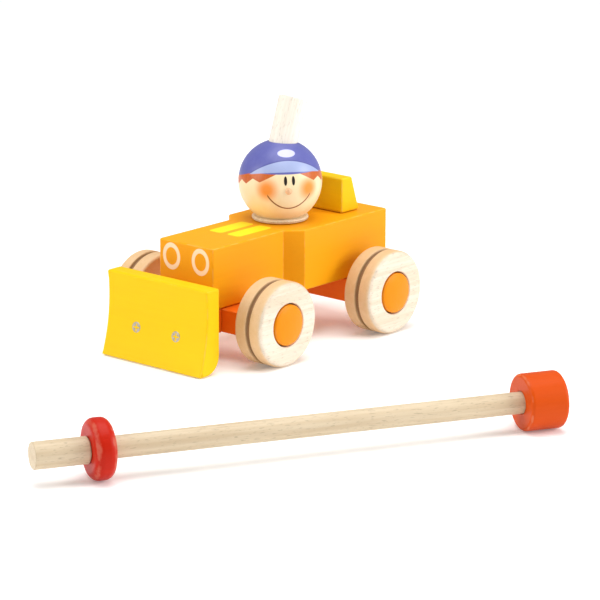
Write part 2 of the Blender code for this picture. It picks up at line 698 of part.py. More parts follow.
# ---------------------------------------------------------------- push stick
def make_push_stick():
    """The stick lies beside the truck: its own +Z runs from the lower rod up to the knob."""
    frame = bpy.data.objects.new("push_stick_axis", None)
    toy.objects.link(frame)
    frame.location = TRUCK_ORIGIN + Vector((*RING_PLACE, RING_HEIGHT))
    along = Vector((STICK_DX, STICK_DY, -STICK_DIP))
    frame.rotation_euler = along.to_track_quat("Z", "Y").to_euler()

    lower_top = -RING_THICKNESS / 2 - GLUE_GAP
    lower_end = RING_THICKNESS / 2 - LOWER_ROD_LENGTH
    rod_radius = LOWER_ROD_DIAMETER / 2
    tenon = DOWEL_TENON_DIAMETER / 2
    tenon_hole = tenon + HOLE_CLEARANCE
    tenon_hole_end = lower_top - DOWEL_IN_LOWER_ROD
    lower = turned(
        "stick_lower_rod",
        [
            (0.0, tenon_hole_end),
            (tenon_hole, tenon_hole_end),
            (tenon_hole, lower_top),
            (rod_radius - EDGE_BREAK, lower_top),
            (rod_radius, lower_top - EDGE_BREAK),
            (rod_radius, lower_end + EDGE_BREAK),
            (rod_radius - EDGE_BREAK, lower_end),
            (0.0, lower_end),
        ],
        BEECH,
    )

    dowel = DOWEL_DIAMETER / 2
    knob_low = RING_TO_KNOB - KNOB_LENGTH / 2
    dowel_top = knob_low + DOWEL_IN_KNOB - GLUE_GAP
    shoulder = lower_top + GLUE_GAP
    shaft = turned(
        "stick_dowel",
        [
            (0.0, dowel_top),
            (dowel - DOWEL_CHAMFER, dowel_top),
            (dowel, dowel_top - DOWEL_CHAMFER),
            (dowel, shoulder),
            (tenon, shoulder),
            (tenon, tenon_hole_end + GLUE_GAP),
            (0.0, tenon_hole_end + GLUE_GAP),
        ],
        BEECH,
    )

    bore = dowel + HOLE_CLEARANCE
    half = RING_THICKNESS / 2
    ring_round = RING_RADIUS - RING_ROUND
    ring = turned(
        "stick_ring",
        [
            (bore, half),
            *arc((ring_round, half - RING_ROUND), RING_ROUND, 90, 0, RING_STEPS),
            *arc((ring_round, RING_ROUND - half), RING_ROUND, 0, -90, RING_STEPS),
            (bore, -half),
        ],
        RING_RED,
        closed=True,
    )

    knob_top = RING_TO_KNOB + KNOB_LENGTH / 2
    round_centre = KNOB_RADIUS - KNOB_ROUND
    knob = turned(
        "stick_knob",
        [
            (0.0, knob_top),
            *arc((round_centre, knob_top - KNOB_ROUND), KNOB_ROUND, 90, 0),
            *arc((round_centre, knob_low + KNOB_ROUND), KNOB_ROUND, 0, -90),
            (bore, knob_low),
            (bore, knob_low + DOWEL_IN_KNOB),
            (0.0, knob_low + DOWEL_IN_KNOB),
        ],
        KNOB_ORANGE,
    )
    for piece in (lower, shaft, ring, knob):
        piece.parent = frame


# ---------------------------------------------------------------- the whole toy
body_block = make_body()
axle_blocks = (
    make_axle_block("front", FRONT_AXLE_SETBACK, FRONT_BLOCK_REACH),
    make_axle_block("rear", REAR_AXLE_SETBACK),
)
blade_carrier = make_blade_carrier()
drill_axle_holes(axle_blocks)
screw_blocks_to_body(body_block, axle_blocks, blade_carrier)
blade_board = make_blade()
screw_on_blade(blade_board, blade_carrier)
make_wheels()
make_collar()
driver = make_head(body_block)
make_nose(driver)
make_stub(driver)
make_seat_back(body_block)
make_push_stick()
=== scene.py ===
# %% [markdown]
# # A wooden push along truck
# The toy is cut and turned from beech: a body sawn from one board, a dozer blade, four lathe-turned
# wheels, a ball-headed driver and a push stick that lies beside the truck. The solid model already
# fixes every size and place. This lesson gives each piece a finer surface, then paint, wood and light.

# %% The solid model is the frame
import json
from math import atan2, cos, hypot, pi, radians, sin

import bmesh
import bpy
import numpy as np
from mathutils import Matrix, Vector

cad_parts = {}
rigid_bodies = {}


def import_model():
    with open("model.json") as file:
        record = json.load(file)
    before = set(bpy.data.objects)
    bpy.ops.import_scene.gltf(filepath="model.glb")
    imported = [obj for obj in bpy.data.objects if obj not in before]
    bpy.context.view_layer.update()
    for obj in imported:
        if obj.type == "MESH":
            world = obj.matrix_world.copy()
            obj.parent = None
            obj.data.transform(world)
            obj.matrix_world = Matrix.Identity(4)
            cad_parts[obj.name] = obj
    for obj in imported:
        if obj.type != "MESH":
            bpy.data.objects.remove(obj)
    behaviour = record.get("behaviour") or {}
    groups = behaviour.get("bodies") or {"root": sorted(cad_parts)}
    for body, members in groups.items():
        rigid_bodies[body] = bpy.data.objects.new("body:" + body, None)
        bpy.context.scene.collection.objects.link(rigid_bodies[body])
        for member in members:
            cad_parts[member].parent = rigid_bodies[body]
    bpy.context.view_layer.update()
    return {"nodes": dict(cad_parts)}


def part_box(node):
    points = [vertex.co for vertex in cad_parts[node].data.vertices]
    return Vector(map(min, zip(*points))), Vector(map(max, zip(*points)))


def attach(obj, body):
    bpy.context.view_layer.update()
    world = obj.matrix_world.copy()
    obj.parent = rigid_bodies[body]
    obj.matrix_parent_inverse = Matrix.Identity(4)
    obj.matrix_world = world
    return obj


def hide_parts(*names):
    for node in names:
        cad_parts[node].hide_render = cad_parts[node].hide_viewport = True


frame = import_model()
MM = 0.001

# %% [markdown]
# ## Where things are
# Places come from the boxes of the solid pieces, and so do most sizes. What a box can't tell, such as
# a bore or a rounding, is a named value. The truck's own middle plane, the hood's front and the floor
# are the three references that a maker would use.

# %% The truck's reference lines


def node_box(name):
    """The lowest and the highest corner of a solid piece, as arrays."""
    low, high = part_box(name)
    return np.array(low), np.array(high)


body_low, body_high = node_box("body_block")
MIDDLE = (body_low[0] + body_high[0]) / 2
HOOD_FRONT = body_low[1]
print("middle plane x =", round(MIDDLE, 5), " hood front y =", round(HOOD_FRONT, 5))

# %% [markdown]
# ## Surfaces from arrays
# A surface here is a grid of points: rings in one direction, columns round each ring. Numpy works out
# all the points at once, and the faces follow from the grid's order. The grid could be built face by
# face instead, but a rule for the whole array is shorter, and it gives even, clean meshes. A second
# array says how close each point is to an edge, and the paint uses it to wear a little there.

# %% From a grid of points to a mesh


def surface_piece(name, rings, edge, body, node, side=None):
    """A closed mesh from rings of points (n, m, 3), each ring closed on itself.

    Every ring is joined to the next by quads.  A first or last ring that shrinks to a point closes
    there, and any other is closed with one flat face.  Normals are made to point outwards.  edge and
    side are values for each point, which the finishes read.
    """
    count, columns, _ = rings.shape
    index = np.arange(count * columns).reshape(count, columns)
    after = np.roll(index, -1, axis=1)
    quads = np.stack([index[:-1], after[:-1], after[1:], index[1:]], axis=-1).reshape(-1, 4)
    faces = quads.tolist()
    for end in (0, -1):
        if np.ptp(rings[end], axis=0).max() > 1e-6:
            faces.append(index[end].tolist())
    mesh = bpy.data.meshes.new(name)
    mesh.from_pydata(rings.reshape(-1, 3).tolist(), [], faces)
    for label, values in (("edge", edge), ("side", side)):
        if values is not None:
            layer = mesh.attributes.new(label, "FLOAT", "POINT")
            spread = np.broadcast_to(values, (count, columns)).astype(np.float32)
            layer.data.foreach_set("value", spread.ravel())
    shape = bmesh.new()
    shape.from_mesh(mesh)
    bmesh.ops.remove_doubles(shape, verts=shape.verts, dist=1e-7)
    bmesh.ops.recalc_face_normals(shape, faces=shape.faces)
    shape.to_mesh(mesh)
    shape.free()
    mesh.shade_smooth()
    mesh.set_sharp_from_angle(angle=radians(50))
    piece = bpy.data.objects.new(name, mesh)
    bpy.context.scene.collection.objects.link(piece)
    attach(piece, body)
    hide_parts(node)
    return piece


def rounded_line(corners, radii, closed=True, steps=6, margin=0.25 * MM):
    """A line through corners, with an arc of the given radius in place of each.

    An arc is the circle that touches both neighbouring straights.  A point a little way along each
    straight keeps the flat faces flat when they are shaded smooth.  Returns the points (n, 2) and,
    for each, how far it is into an edge, from 0 on a flat to 1 in the middle of an arc.
    """
    corners = np.asarray(corners, float)
    points, edge = [], []
    for i, (corner, radius) in enumerate(zip(corners, radii)):
        ends = not closed and i in (0, len(corners) - 1)
        if ends or radius <= 0:
            points.append(corner)
            edge.append(0.0)
            continue
        back = corners[i - 1] - corner
        ahead = corners[(i + 1) % len(corners)] - corner
        back /= hypot(*back)
        ahead /= hypot(*ahead)
        half = np.arccos(np.clip(back @ ahead, -1, 1)) / 2
        run = radius / np.tan(half)
        middle = back + ahead
        centre = corner + middle / hypot(*middle) * radius / sin(half)
        start = corner + back * run - centre
        stop = corner + ahead * run - centre
        turn = pi - 2 * half
        t = np.linspace(0, 1, steps + 1)[:, None]
        arc = centre + (np.sin((1 - t) * turn) * start + np.sin(t * turn) * stop) / sin(turn)
        points += [corner + back * (run + margin), *arc, corner + ahead * (run + margin)]
        edge += [0.0, *np.sin(pi * t[:, 0]), 0.0]
    return np.array(points), np.array(edge)


# %% [markdown]
# ## Boards
# The body, the blade, the seat back and the blocks are all sawn from boards and sanded along their
# edges. Each is one outline carried through the board's thickness. Near both faces the outline
# moves inwards on a quarter circle, which is what a sanding belt leaves. A Bevel modifier could do it
# too, but here the same sum also tells how worn each point is.

# %% A sawn and sanded board


def board_rings(outline, edge, low, high, round_over, steps=6):
    """The rings of a board whose outline (n, 2) is carried from one height to another.

    At an angle a on the rounding the outline lies (1 - sin a) of the rounding further in, along its
    own normals, and (1 - cos a) short of the height where the straight side begins.
    """
    tangent = np.roll(outline, -1, axis=0) - np.roll(outline, 1, axis=0)
    normal = np.stack([tangent[:, 1], -tangent[:, 0]], axis=1)
    normal /= np.hypot(normal[:, 0], normal[:, 1])[:, None]
    x, y = outline.T
    if np.sum(x * np.roll(y, -1) - y * np.roll(x, -1)) < 0:
        normal = -normal
    angle = np.linspace(0, pi / 2, steps + 1)
    flat = 0.04 * MM
    inset = np.concatenate([[round_over + flat], round_over * (1 - np.sin(angle)), [0.0]])
    rise = np.concatenate([[0.0], round_over * (1 - np.cos(angle)), [round_over + 0.3 * MM]])
    bump = np.concatenate([[0.0], np.sin(2 * angle), [0.0]])
    inset = np.concatenate([inset, inset[::-1]])
    height = np.concatenate([low + rise, high - rise[::-1]])
    bump = np.concatenate([bump, bump[::-1]])
    flat_points = outline[None] - inset[:, None, None] * normal[None]
    heights = np.broadcast_to(height[:, None, None], (*flat_points.shape[:2], 1))
    return np.concatenate([flat_points, heights], axis=2), np.maximum(bump[:, None], edge[None])


def across_truck(rings):
    """Turn a board from outline (X, Y) and height Z to outline (Y, Z) and thickness along X."""
    return rings[..., [2, 0, 1]]


# %% [markdown]
# ## The body
# Seen from above the body is a narrow hood and a wider cab with its front corners cut at 45 degrees.

# %% The body block
SANDED = 1.0 * MM
BODY_CORNER = 1.2 * MM
FLARE = 9.0 * MM
HOOD_HALF = 21.0 * MM
CAB_LENGTH = 75.0 * MM
cab_half = body_high[0] - MIDDLE
cab_front = body_high[1] - CAB_LENGTH
body_corners = [
    (MIDDLE - HOOD_HALF, HOOD_FRONT),
    (MIDDLE + HOOD_HALF, HOOD_FRONT),
    (MIDDLE + HOOD_HALF, cab_front - FLARE),
    (MIDDLE + cab_half, cab_front),
    (MIDDLE + cab_half, body_high[1]),
    (MIDDLE - cab_half, body_high[1]),
    (MIDDLE - cab_half, cab_front),
    (MIDDLE - HOOD_HALF, cab_front - FLARE),
]
outline, outline_edge = rounded_line(body_corners, [BODY_CORNER] * len(body_corners))
rings, edge = board_rings(outline, outline_edge, body_low[2], body_high[2], SANDED)
body_piece = surface_piece("body_block_sanded", rings, edge, "truck", "body_block")
print("body:", len(outline), "points round its outline")

# %% The three blocks below it
BLOCK_CORNER = 1.0 * MM
BLOCK_SANDED = 0.8 * MM
under_blocks = []
for node in ("front_axle_block", "rear_axle_block", "blade_carrier"):
    low, high = node_box(node)
    corners = [(low[0], low[1]), (high[0], low[1]), (high[0], high[1]), (low[0], high[1])]
    outline, outline_edge = rounded_line(corners, [BLOCK_CORNER] * 4)
    rings, edge = board_rings(outline, outline_edge, low[2], high[2], BLOCK_SANDED)
    under_blocks.append(surface_piece(node + "_sanded", rings, edge, "truck", node))
print("blocks:", [block.name for block in under_blocks])

# %% [markdown]
# ## The blade
# The blade's side outline is hollow in front, like a real dozer's. The hollow is one arc, found from
# its two ends and its depth: radius = (half chord squared + depth squared) / twice the depth. The toe
# at the bottom is the cutting edge, and the heel behind it is a generous round.

# %% The blade
blade_low, blade_high = node_box("blade")
BLADE_TOP_THICKNESS = 11.0 * MM
BLADE_HEEL_ROUND = 11.0 * MM
BLADE_CORNER = 1.4 * MM
BLADE_SANDED = 1.3 * MM
BLADE_HOLLOW = 2.9 * MM
HOLLOW_MARGIN = 0.6 * MM
TOE_FLAT = 1.0 * MM
blade_back = blade_high[1]
blade_top_front = blade_back - BLADE_TOP_THICKNESS


def hollow_arc(top, toe, depth, steps=20):
    """Points from the top edge to the toe on the arc that is this deep in its middle.

    The arc's centre lies in front of the chord, at its radius less the depth.
    """
    top, toe = np.array(top), np.array(toe)
    chord = hypot(*(top - toe))
    radius = (chord**2 / 4 + depth**2) / (2 * depth)
    along = (top - toe) / chord
    forward = np.array([-along[1], along[0]])
    centre = (top + toe) / 2 + forward * (radius - depth)
    height = np.linspace(top[1], toe[1], steps)
    return np.stack([centre[0] + np.sqrt(radius**2 - (height - centre[1]) ** 2), height], axis=1)


front_arc = hollow_arc(
    (blade_top_front, blade_high[2] - HOLLOW_MARGIN),
    (blade_low[1], blade_low[2] + HOLLOW_MARGIN),
    BLADE_HOLLOW,
)
corner_points = [
    (blade_low[1] + TOE_FLAT, blade_low[2]),
    (blade_back, blade_low[2]),
    (blade_back, blade_high[2]),
    (blade_top_front, blade_high[2]),
]
back_line, back_edge = rounded_line(
    corner_points, [0, BLADE_HEEL_ROUND, BLADE_CORNER, BLADE_CORNER], steps=10
)
outline = np.concatenate([back_line, front_arc[2:]])
outline_edge = np.concatenate([back_edge * 0.7, np.zeros(len(front_arc) - 2)])
rings, edge = board_rings(outline, outline_edge, blade_low[0], blade_high[0], BLADE_SANDED)
blade_piece = surface_piece("blade_hollowed", across_truck(rings), edge, "truck", "blade")
print("blade:", round(1000 * (blade_high[0] - blade_low[0]), 1), "mm wide")

# %% The seat back
SEAT_TOP_DEPTH = 9.2 * MM
SEAT_CORNER = 1.2 * MM
SEAT_SANDED = 1.1 * MM
seat_low, seat_high = node_box("seat_back")
seat_corners = [
    (seat_low[1], seat_low[2]),
    (seat_high[1], seat_low[2]),
    (seat_low[1] + SEAT_TOP_DEPTH, seat_high[2]),
    (seat_low[1], seat_high[2]),
]
outline, outline_edge = rounded_line(seat_corners, [SEAT_CORNER] * 4)
rings, edge = board_rings(outline, outline_edge, seat_low[0], seat_high[0], SEAT_SANDED)
seat_piece = surface_piece("seat_back_sanded", across_truck(rings), edge, "truck", "seat_back")

# %% [markdown]
# ## Turned pieces
# Wheels, caps, rods and the ring come off a lathe. A profile of (radius, height) is swept round its
# axis: point = centre + radius (cos u, sin u) across the axis + height along it. Blender's Screw
# modifier does the same, but the array lets the finished piece stay at the origin, placed by its mesh.

# %% A lathe


def axes_along(direction):
    """Three unit vectors, the third along the direction and the first two across it."""
    along = np.array(direction, float)
    along /= np.linalg.norm(along)
    helper = np.array([0.0, 0.0, 1.0]) if abs(along[2]) < 0.9 else np.array([0.0, 1.0, 0.0])
    first = np.cross(helper, along)
    first /= np.linalg.norm(first)
    return first, np.cross(along, first), along


def turned_rings(profile, centre, direction, steps=96):
    """Sweep a profile of (radius, height) once round the axis through the centre."""
    first, second, along = axes_along(direction)
    angle = np.linspace(0, 2 * pi, steps, endpoint=False)
    circle = np.cos(angle)[:, None] * first + np.sin(angle)[:, None] * second
    radius, height = profile.T
    return np.array(centre) + radius[:, None, None] * circle[None] + height[:, None, None] * along


def turned_piece(name, corners, radii, centre, direction, body, node, steps=96, loop=False, side=None):
    """A lathe piece from its profile's corners.  A loop goes round a bore and closes on itself.

    side, if given, is a function of the profile that says how much painted shade goes there.
    """
    profile, edge = rounded_line(corners, radii, closed=loop)
    if loop:
        profile = np.concatenate([profile, profile[:1]])
        edge = np.concatenate([edge, edge[:1]])
    rings = turned_rings(profile, centre, direction, steps)
    values = None if side is None else side(profile)[:, None]
    return surface_piece(name, rings, edge[:, None], body, node, values)


# %% [markdown]
# ## Wheels
# Each wheel has a softly rounded outer face, a groove round its tread and a recess for the hub cap.
# A fixed axle runs through it, so only the wheel turns.

# %% Four wheels and their hub caps
GROOVE_DEPTH = 1.6 * MM
GROOVE_HALF_WIDTH = 1.6 * MM
GROOVE_SLOPE = 0.4 * MM
TREAD_REACH = 4.0 * MM
AXLE_BORE = 4.3 * MM
RECESS_RADIUS = 12.8 * MM
RECESS_DEPTH = 6.5 * MM
WHEEL_ROUNDS = [size * MM for size in (0, 0.3, 0.7, 3.2, 0.4, 0.3, 0.3, 0.4, 1.6, 0)]
CAP_DOME = 2.0 * MM
CAP_ROUND = 1.5 * MM
CAP_CHAMFER = 0.3 * MM


def wheel_shade_amount(profile):
    """How much painted shade a wheel gets: 0 on its face, 0.5 on its tread, and up to 1 at the bottom of its
    groove.
    """
    radius, height = profile.T
    rim, width = radius.max(), height.max()
    tread = np.clip((width - 1.0 * MM - height) / (0.8 * MM), 0, 1) * (radius > rim - TREAD_REACH)
    in_groove = (np.abs(height - width / 2) < 2.0 * MM) * (radius > rim - TREAD_REACH)
    return 0.5 * tread + 0.5 * in_groove * np.clip((rim - radius) / GROOVE_DEPTH, 0, 1)


wheels, hub_caps = [], []
for end in ("front", "rear"):
    for side, sign in (("left", 1), ("right", -1)):
        name = f"wheel_{end}_{side}"
        low, high = node_box(name)
        rim = (high[2] - low[2]) / 2
        width = high[0] - low[0]
        back = low[0] if sign > 0 else high[0]
        centre = (back, (low[1] + high[1]) / 2, (low[2] + high[2]) / 2)
        recess_floor = width - RECESS_DEPTH
        corners = [
            (AXLE_BORE, recess_floor),
            (RECESS_RADIUS, recess_floor),
            (RECESS_RADIUS, width),
            (rim, width),
            (rim, width / 2 + GROOVE_HALF_WIDTH),
            (rim - GROOVE_DEPTH, width / 2 + GROOVE_HALF_WIDTH - GROOVE_SLOPE),
            (rim - GROOVE_DEPTH, width / 2 - GROOVE_HALF_WIDTH + GROOVE_SLOPE),
            (rim, width / 2 - GROOVE_HALF_WIDTH),
            (rim, 0.0),
            (AXLE_BORE, 0.0),
        ]
        body = f"{end}_{side}_wheel"
        direction = (sign, 0, 0)
        wheel = turned_piece(
            name + "_turned", corners, WHEEL_ROUNDS, centre, direction, body, name, 144, True, wheel_shade_amount
        )
        wheels.append((wheel, centre))

        name = f"hub_cap_{end}_{side}"
        low, high = node_box(name)
        cap_radius = (high[2] - low[2]) / 2
        cap_height = high[0] - low[0]
        seat = low[0] if sign > 0 else high[0]
        side_height = cap_height - CAP_DOME
        reach = np.linspace(0, cap_radius - 1.9 * MM, 10)
        dome = cap_height - 1.7 * MM * (reach / cap_radius) ** 2
        profile = [
            *np.stack([reach, dome], axis=1),
            (cap_radius, side_height),
            (cap_radius, 0.0),
            (0.0, 0.0),
        ]
        radii = [0] * len(reach) + [CAP_ROUND, CAP_CHAMFER, 0]
        cap = turned_piece(
            name + "_domed", profile, radii, (seat, *centre[1:]), direction, "truck", name
        )
        hub_caps.append(cap)
print("wheels:", len(wheels), " radius", round(1000 * rim, 2), "mm, width", round(1000 * width, 2), "mm")

# %% [markdown]
# ## Screws
# A cross-slotted head is a flat disc with a cross pressed into it. The disc is a grid in polar
# coordinates, and its height drops wherever a point is near either arm of the cross. The drop fades
# towards the rim, as the driver's tip tapers.

# %% Countersunk screws
SCREW_HEAD, SCREW_SHANK, SCREW_RIM = 3.3 * MM, 1.75 * MM, 0.4 * MM
SCREW_CHAMFER = 0.25 * MM
SCREW_POINT, SCREW_TIP = 4.0 * MM, 0.4 * MM
SLOT_HALF_WIDTH, SLOT_WALL, SLOT_DEPTH = 0.55 * MM, 0.2 * MM, 1.1 * MM
SLOT_FADE = 2.3 * MM
BLADE_SCREW_AIM = (0, 1, -0.13)
BLADE_SCREW_PROUD = 0.62 * MM


def screw_piece(node, direction, proud=0.0):
    """A wood screw along the direction, its head at the end where the direction starts.

    Head height = -depth * cross * fade, where cross is 1 within half a slot's width of either axis.
    A proud screw starts that far before its solid's own end.
    """
    low, high = node_box(node)
    along = np.array(direction, float)
    lengthwise = int(np.argmax(np.abs(along)))
    length = high[lengthwise] - low[lengthwise]
    centre = (low + high) / 2
    centre[lengthwise] = low[lengthwise] if along[lengthwise] > 0 else high[lengthwise]
    centre = centre - along * proud
    disc = np.linspace(0, SCREW_HEAD - SCREW_CHAMFER, 24)
    tail = np.array([
        (SCREW_HEAD, SCREW_CHAMFER),
        (SCREW_HEAD, SCREW_RIM),
        (SCREW_SHANK, SCREW_RIM + SCREW_HEAD - SCREW_SHANK),
        (SCREW_SHANK, length - SCREW_POINT),
        (SCREW_TIP, length - SCREW_TIP),
        (0.0, length),
    ])
    profile = np.concatenate([np.stack([disc, np.zeros_like(disc)], axis=1), tail])
    rings = turned_rings(profile, centre, direction, 96)
    angle = np.linspace(0, 2 * pi, 96, endpoint=False)
    across = np.abs(disc[:, None] * np.sin(angle))
    upright = np.abs(disc[:, None] * np.cos(angle))
    slot = np.minimum(across, upright)
    cross = np.clip((SLOT_HALF_WIDTH - slot) / SLOT_WALL, 0, 1)
    fade = np.clip(1.15 - disc / SLOT_FADE, 0, 1)[:, None]
    rings[: len(disc)] += (SLOT_DEPTH * cross * fade)[..., None] * along
    worn = np.zeros((len(profile), 1))
    return surface_piece(node + "_slotted", rings, worn, "truck", node)


screws = [
    screw_piece(f"blade_screw_{side}", BLADE_SCREW_AIM, BLADE_SCREW_PROUD) for side in ("left", "right")
]
for where in ("carrier", "front", "rear"):
    for side in ("left", "right"):
        screws.append(screw_piece(f"chassis_screw_{where}_{side}", (0, 0, 1)))
print("screws:", len(screws))

# %% [markdown]
# ## The driver
# The head is a turned ball with a flat base and a leaning hole for the stick's stub. Its grid starts
# at the hole's rim and runs along great circles to the point opposite, so the hole has a clean edge
# with no cutting. A boolean could drill it, but would leave long thin faces in the shading.

# %% The ball head
HEAD_SINK = 1.9 * MM
HOLE_RADIUS = 8.8 * MM
HOLE_WALL = 6.0 * MM
head_low, head_high = node_box("driver_head")
HEAD_RADIUS = (head_high[0] - head_low[0]) / 2
HEAD_CENTRE = np.array([
    (head_low[0] + head_high[0]) / 2,
    (head_low[1] + head_high[1]) / 2,
    head_low[2] + HEAD_RADIUS - HEAD_SINK,
])
STUB_LEAN = radians(19.5)
STUB_FORWARD = 5.5 * MM
stub_axis = np.array([0.0, sin(STUB_LEAN), cos(STUB_LEAN)])


def head_rings(steps=160, rings=120):
    """Great-circle arcs from the hole's rim to the point of the ball opposite the hole.

    The rim is where a cylinder round the stub's axis meets the ball.  Along each arc the points
    are the spherical blend of its two ends, and what falls below the flat base is lifted onto it.
    """
    first, second, along = axes_along(stub_axis)
    angle = np.linspace(0, 2 * pi, steps, endpoint=False)
    offset = np.array([0.0, -STUB_FORWARD, 0.0])
    offset = offset - (offset @ along) * along
    rim = offset + HOLE_RADIUS * (np.cos(angle)[:, None] * first + np.sin(angle)[:, None] * second)
    rim = rim + np.sqrt(HEAD_RADIUS**2 - np.sum(rim**2, axis=1))[:, None] * along
    start = rim / HEAD_RADIUS
    stop = -along
    span = np.arccos(np.clip(start @ stop, -1, 1))[:, None]
    t = np.linspace(0, 1, rings)[:, None, None]
    arcs = (np.sin((1 - t) * span) * start + np.sin(t * span) * stop) / np.sin(span)
    points = HEAD_CENTRE + HEAD_RADIUS * arcs
    points[..., 2] = np.maximum(points[..., 2], head_low[2])
    inner = points[:1] - HOLE_WALL * along
    return np.concatenate([inner, points])


head_piece = surface_piece("driver_head_turned", head_rings(), np.zeros((1, 1)), "truck", "driver_head")
print("head:", round(2000 * HEAD_RADIUS, 1), "mm across")

# %% The nose bead, the collar and the stub
nose_low, nose_high = node_box("driver_nose")
nose_centre = (nose_low + nose_high) / 2
look = (nose_centre - HEAD_CENTRE) / np.linalg.norm(nose_centre - HEAD_CENTRE)
nose_radius = (nose_high[2] - nose_low[2]) / 2
bead = np.linspace(0, pi, 25)
nose_profile = np.stack([nose_radius * np.sin(bead), 0.92 * nose_radius * np.cos(bead)], axis=1)
nose_rings = turned_rings(nose_profile, nose_centre, look, 48)
nose_piece = surface_piece("driver_nose_bead", nose_rings, np.zeros((1, 1)), "truck", "driver_nose")

collar_low, collar_high = node_box("neck_collar")
collar_radius = (collar_high[0] - collar_low[0]) / 2
collar_thick = collar_high[2] - collar_low[2]
COLLAR_HOLE = 13.1 * MM
collar_piece = turned_piece(
    "neck_collar_turned",
    [(COLLAR_HOLE, collar_thick), (collar_radius, collar_thick), (collar_radius, 0), (COLLAR_HOLE, 0)],
    [0.4 * MM, 1.15 * MM, 1.15 * MM, 0],
    (MIDDLE, HEAD_CENTRE[1], collar_low[2]),
    (0, 0, 1),
    "truck",
    "neck_collar",
    144,
    loop=True,
)

STUB_RADIUS, STUB_LENGTH = 8.5 * MM, 51.7 * MM
STUB_BELOW_CENTRE = 0.7 * MM
stub_foot = HEAD_CENTRE - (0, STUB_FORWARD, 0) - stub_axis * STUB_BELOW_CENTRE
stub_piece = turned_piece(
    "stick_stub_turned",
    [(0.0, STUB_LENGTH), (STUB_RADIUS, STUB_LENGTH), (STUB_RADIUS, 0.0), (0.0, 0.0)],
    [0, 0.6 * MM, 0.5 * MM, 0],
    stub_foot,
    stub_axis,
    "truck",
    "stick_stub",
)

# %% [markdown]
# ## The push stick
# The stick lies on the floor beside the truck, resting on its ring and its knob. Its own axis runs
# from the ring's centre to the knob's, and every turned piece on it shares that axis.

# %% The stick's axis
ring_low, ring_high = node_box("stick_ring")
knob_low, knob_high = node_box("stick_knob")
ring_centre = (ring_low + ring_high) / 2
knob_centre = (knob_low + knob_high) / 2
stick_span = float(np.linalg.norm(knob_centre - ring_centre))
stick_axis = (knob_centre - ring_centre) / stick_span
STICK_HEADING = atan2(stick_axis[1], stick_axis[0])
print("stick:", round(1000 * stick_span, 1), "mm between ring and knob")

# %% The four turned pieces of the stick
RING_RADIUS, RING_HALF = 16.5 * MM, 6.0 * MM
KNOB_RADIUS, KNOB_HALF = 15.7 * MM, 11.2 * MM
ROD_RADIUS, DOWEL_RADIUS, TENON_RADIUS = 7.3 * MM, 6.0 * MM, 4.0 * MM
LOWER_ROD_LENGTH = 42.0 * MM
FIT_GAP = 0.3 * MM
HOLE_DEPTH = 16.0 * MM
lower_end = RING_HALF - LOWER_ROD_LENGTH
lower_top = -RING_HALF - FIT_GAP
knob_hole_end = stick_span - KNOB_HALF + HOLE_DEPTH
stick_pieces = {}


def stick_piece(node, corners, radii, steps=96, loop=False):
    """A turned piece on the stick's axis, with heights counted from the ring's centre."""
    stick_pieces[node] = turned_piece(
        node + "_turned", corners, radii, ring_centre, stick_axis, "push_stick", node, steps, loop
    )


stick_piece(
    "stick_lower_rod",
    [
        (0.0, lower_top - HOLE_DEPTH),
        (TENON_RADIUS + FIT_GAP, lower_top - HOLE_DEPTH),
        (TENON_RADIUS + FIT_GAP, lower_top),
        (ROD_RADIUS, lower_top),
        (ROD_RADIUS, lower_end),
        (0.0, lower_end),
    ],
    [0, 0, 0.2 * MM, 0.5 * MM, 0.7 * MM, 0],
)
stick_piece(
    "stick_dowel",
    [
        (0.0, knob_hole_end - FIT_GAP),
        (DOWEL_RADIUS, knob_hole_end - FIT_GAP),
        (DOWEL_RADIUS, -RING_HALF),
        (TENON_RADIUS, -RING_HALF),
        (TENON_RADIUS, lower_top - HOLE_DEPTH + FIT_GAP),
        (0.0, lower_top - HOLE_DEPTH + FIT_GAP),
    ],
    [0, 0.5 * MM, 0.2 * MM, 0, 0.5 * MM, 0],
)
stick_piece(
    "stick_ring",
    [
        (DOWEL_RADIUS + FIT_GAP, RING_HALF),
        (RING_RADIUS, RING_HALF),
        (RING_RADIUS, -RING_HALF),
        (DOWEL_RADIUS + FIT_GAP, -RING_HALF),
    ],
    [0.8 * MM, 4.5 * MM, 4.5 * MM, 0.8 * MM],
    128,
    loop=True,
)
stick_piece(
    "stick_knob",
    [
        (0.0, stick_span + KNOB_HALF),
        (KNOB_RADIUS, stick_span + KNOB_HALF),
        (KNOB_RADIUS, stick_span - KNOB_HALF),
        (DOWEL_RADIUS + FIT_GAP, stick_span - KNOB_HALF),
        (DOWEL_RADIUS + FIT_GAP, knob_hole_end),
        (0.0, knob_hole_end),
    ],
    [0, 2.0 * MM, 2.0 * MM, 0.5 * MM, 0, 0],
    128,
)
print("stick pieces:", sorted(stick_pieces))

# %% [markdown]
# ## Building materials from nodes
# A material is a small network. Three short helpers keep it readable: one adds a node and wires its
# inputs, one adds a sum, and one opens a node group. Anything that several finishes share, such as
# grain or wear, becomes a group with named inputs and outputs, built once.

# %% Helpers for nodes


def node(tree, kind, inputs=None, **settings):
    """Add a node, set its options, and wire or set its inputs."""
    made = tree.nodes.new(kind)
    for key, value in settings.items():
        setattr(made, key, value)
    for key, value in (inputs or {}).items():
        if isinstance(value, bpy.types.NodeSocket):
            tree.links.new(value, made.inputs[key])
        else:
            made.inputs[key].default_value = value
    return made


def calc(tree, operation, *values):
    """One sum of up to three values, and the socket that carries its result."""
    return node(tree, "ShaderNodeMath", dict(enumerate(values)), operation=operation).outputs[0]


def distance(tree, first, second):
    """How far a point is from zero, from its two offsets: the root of the sum of their squares."""
    squares = calc(tree, "MULTIPLY_ADD", first, first, calc(tree, "MULTIPLY", second, second))
    return calc(tree, "POWER", squares, 0.5)


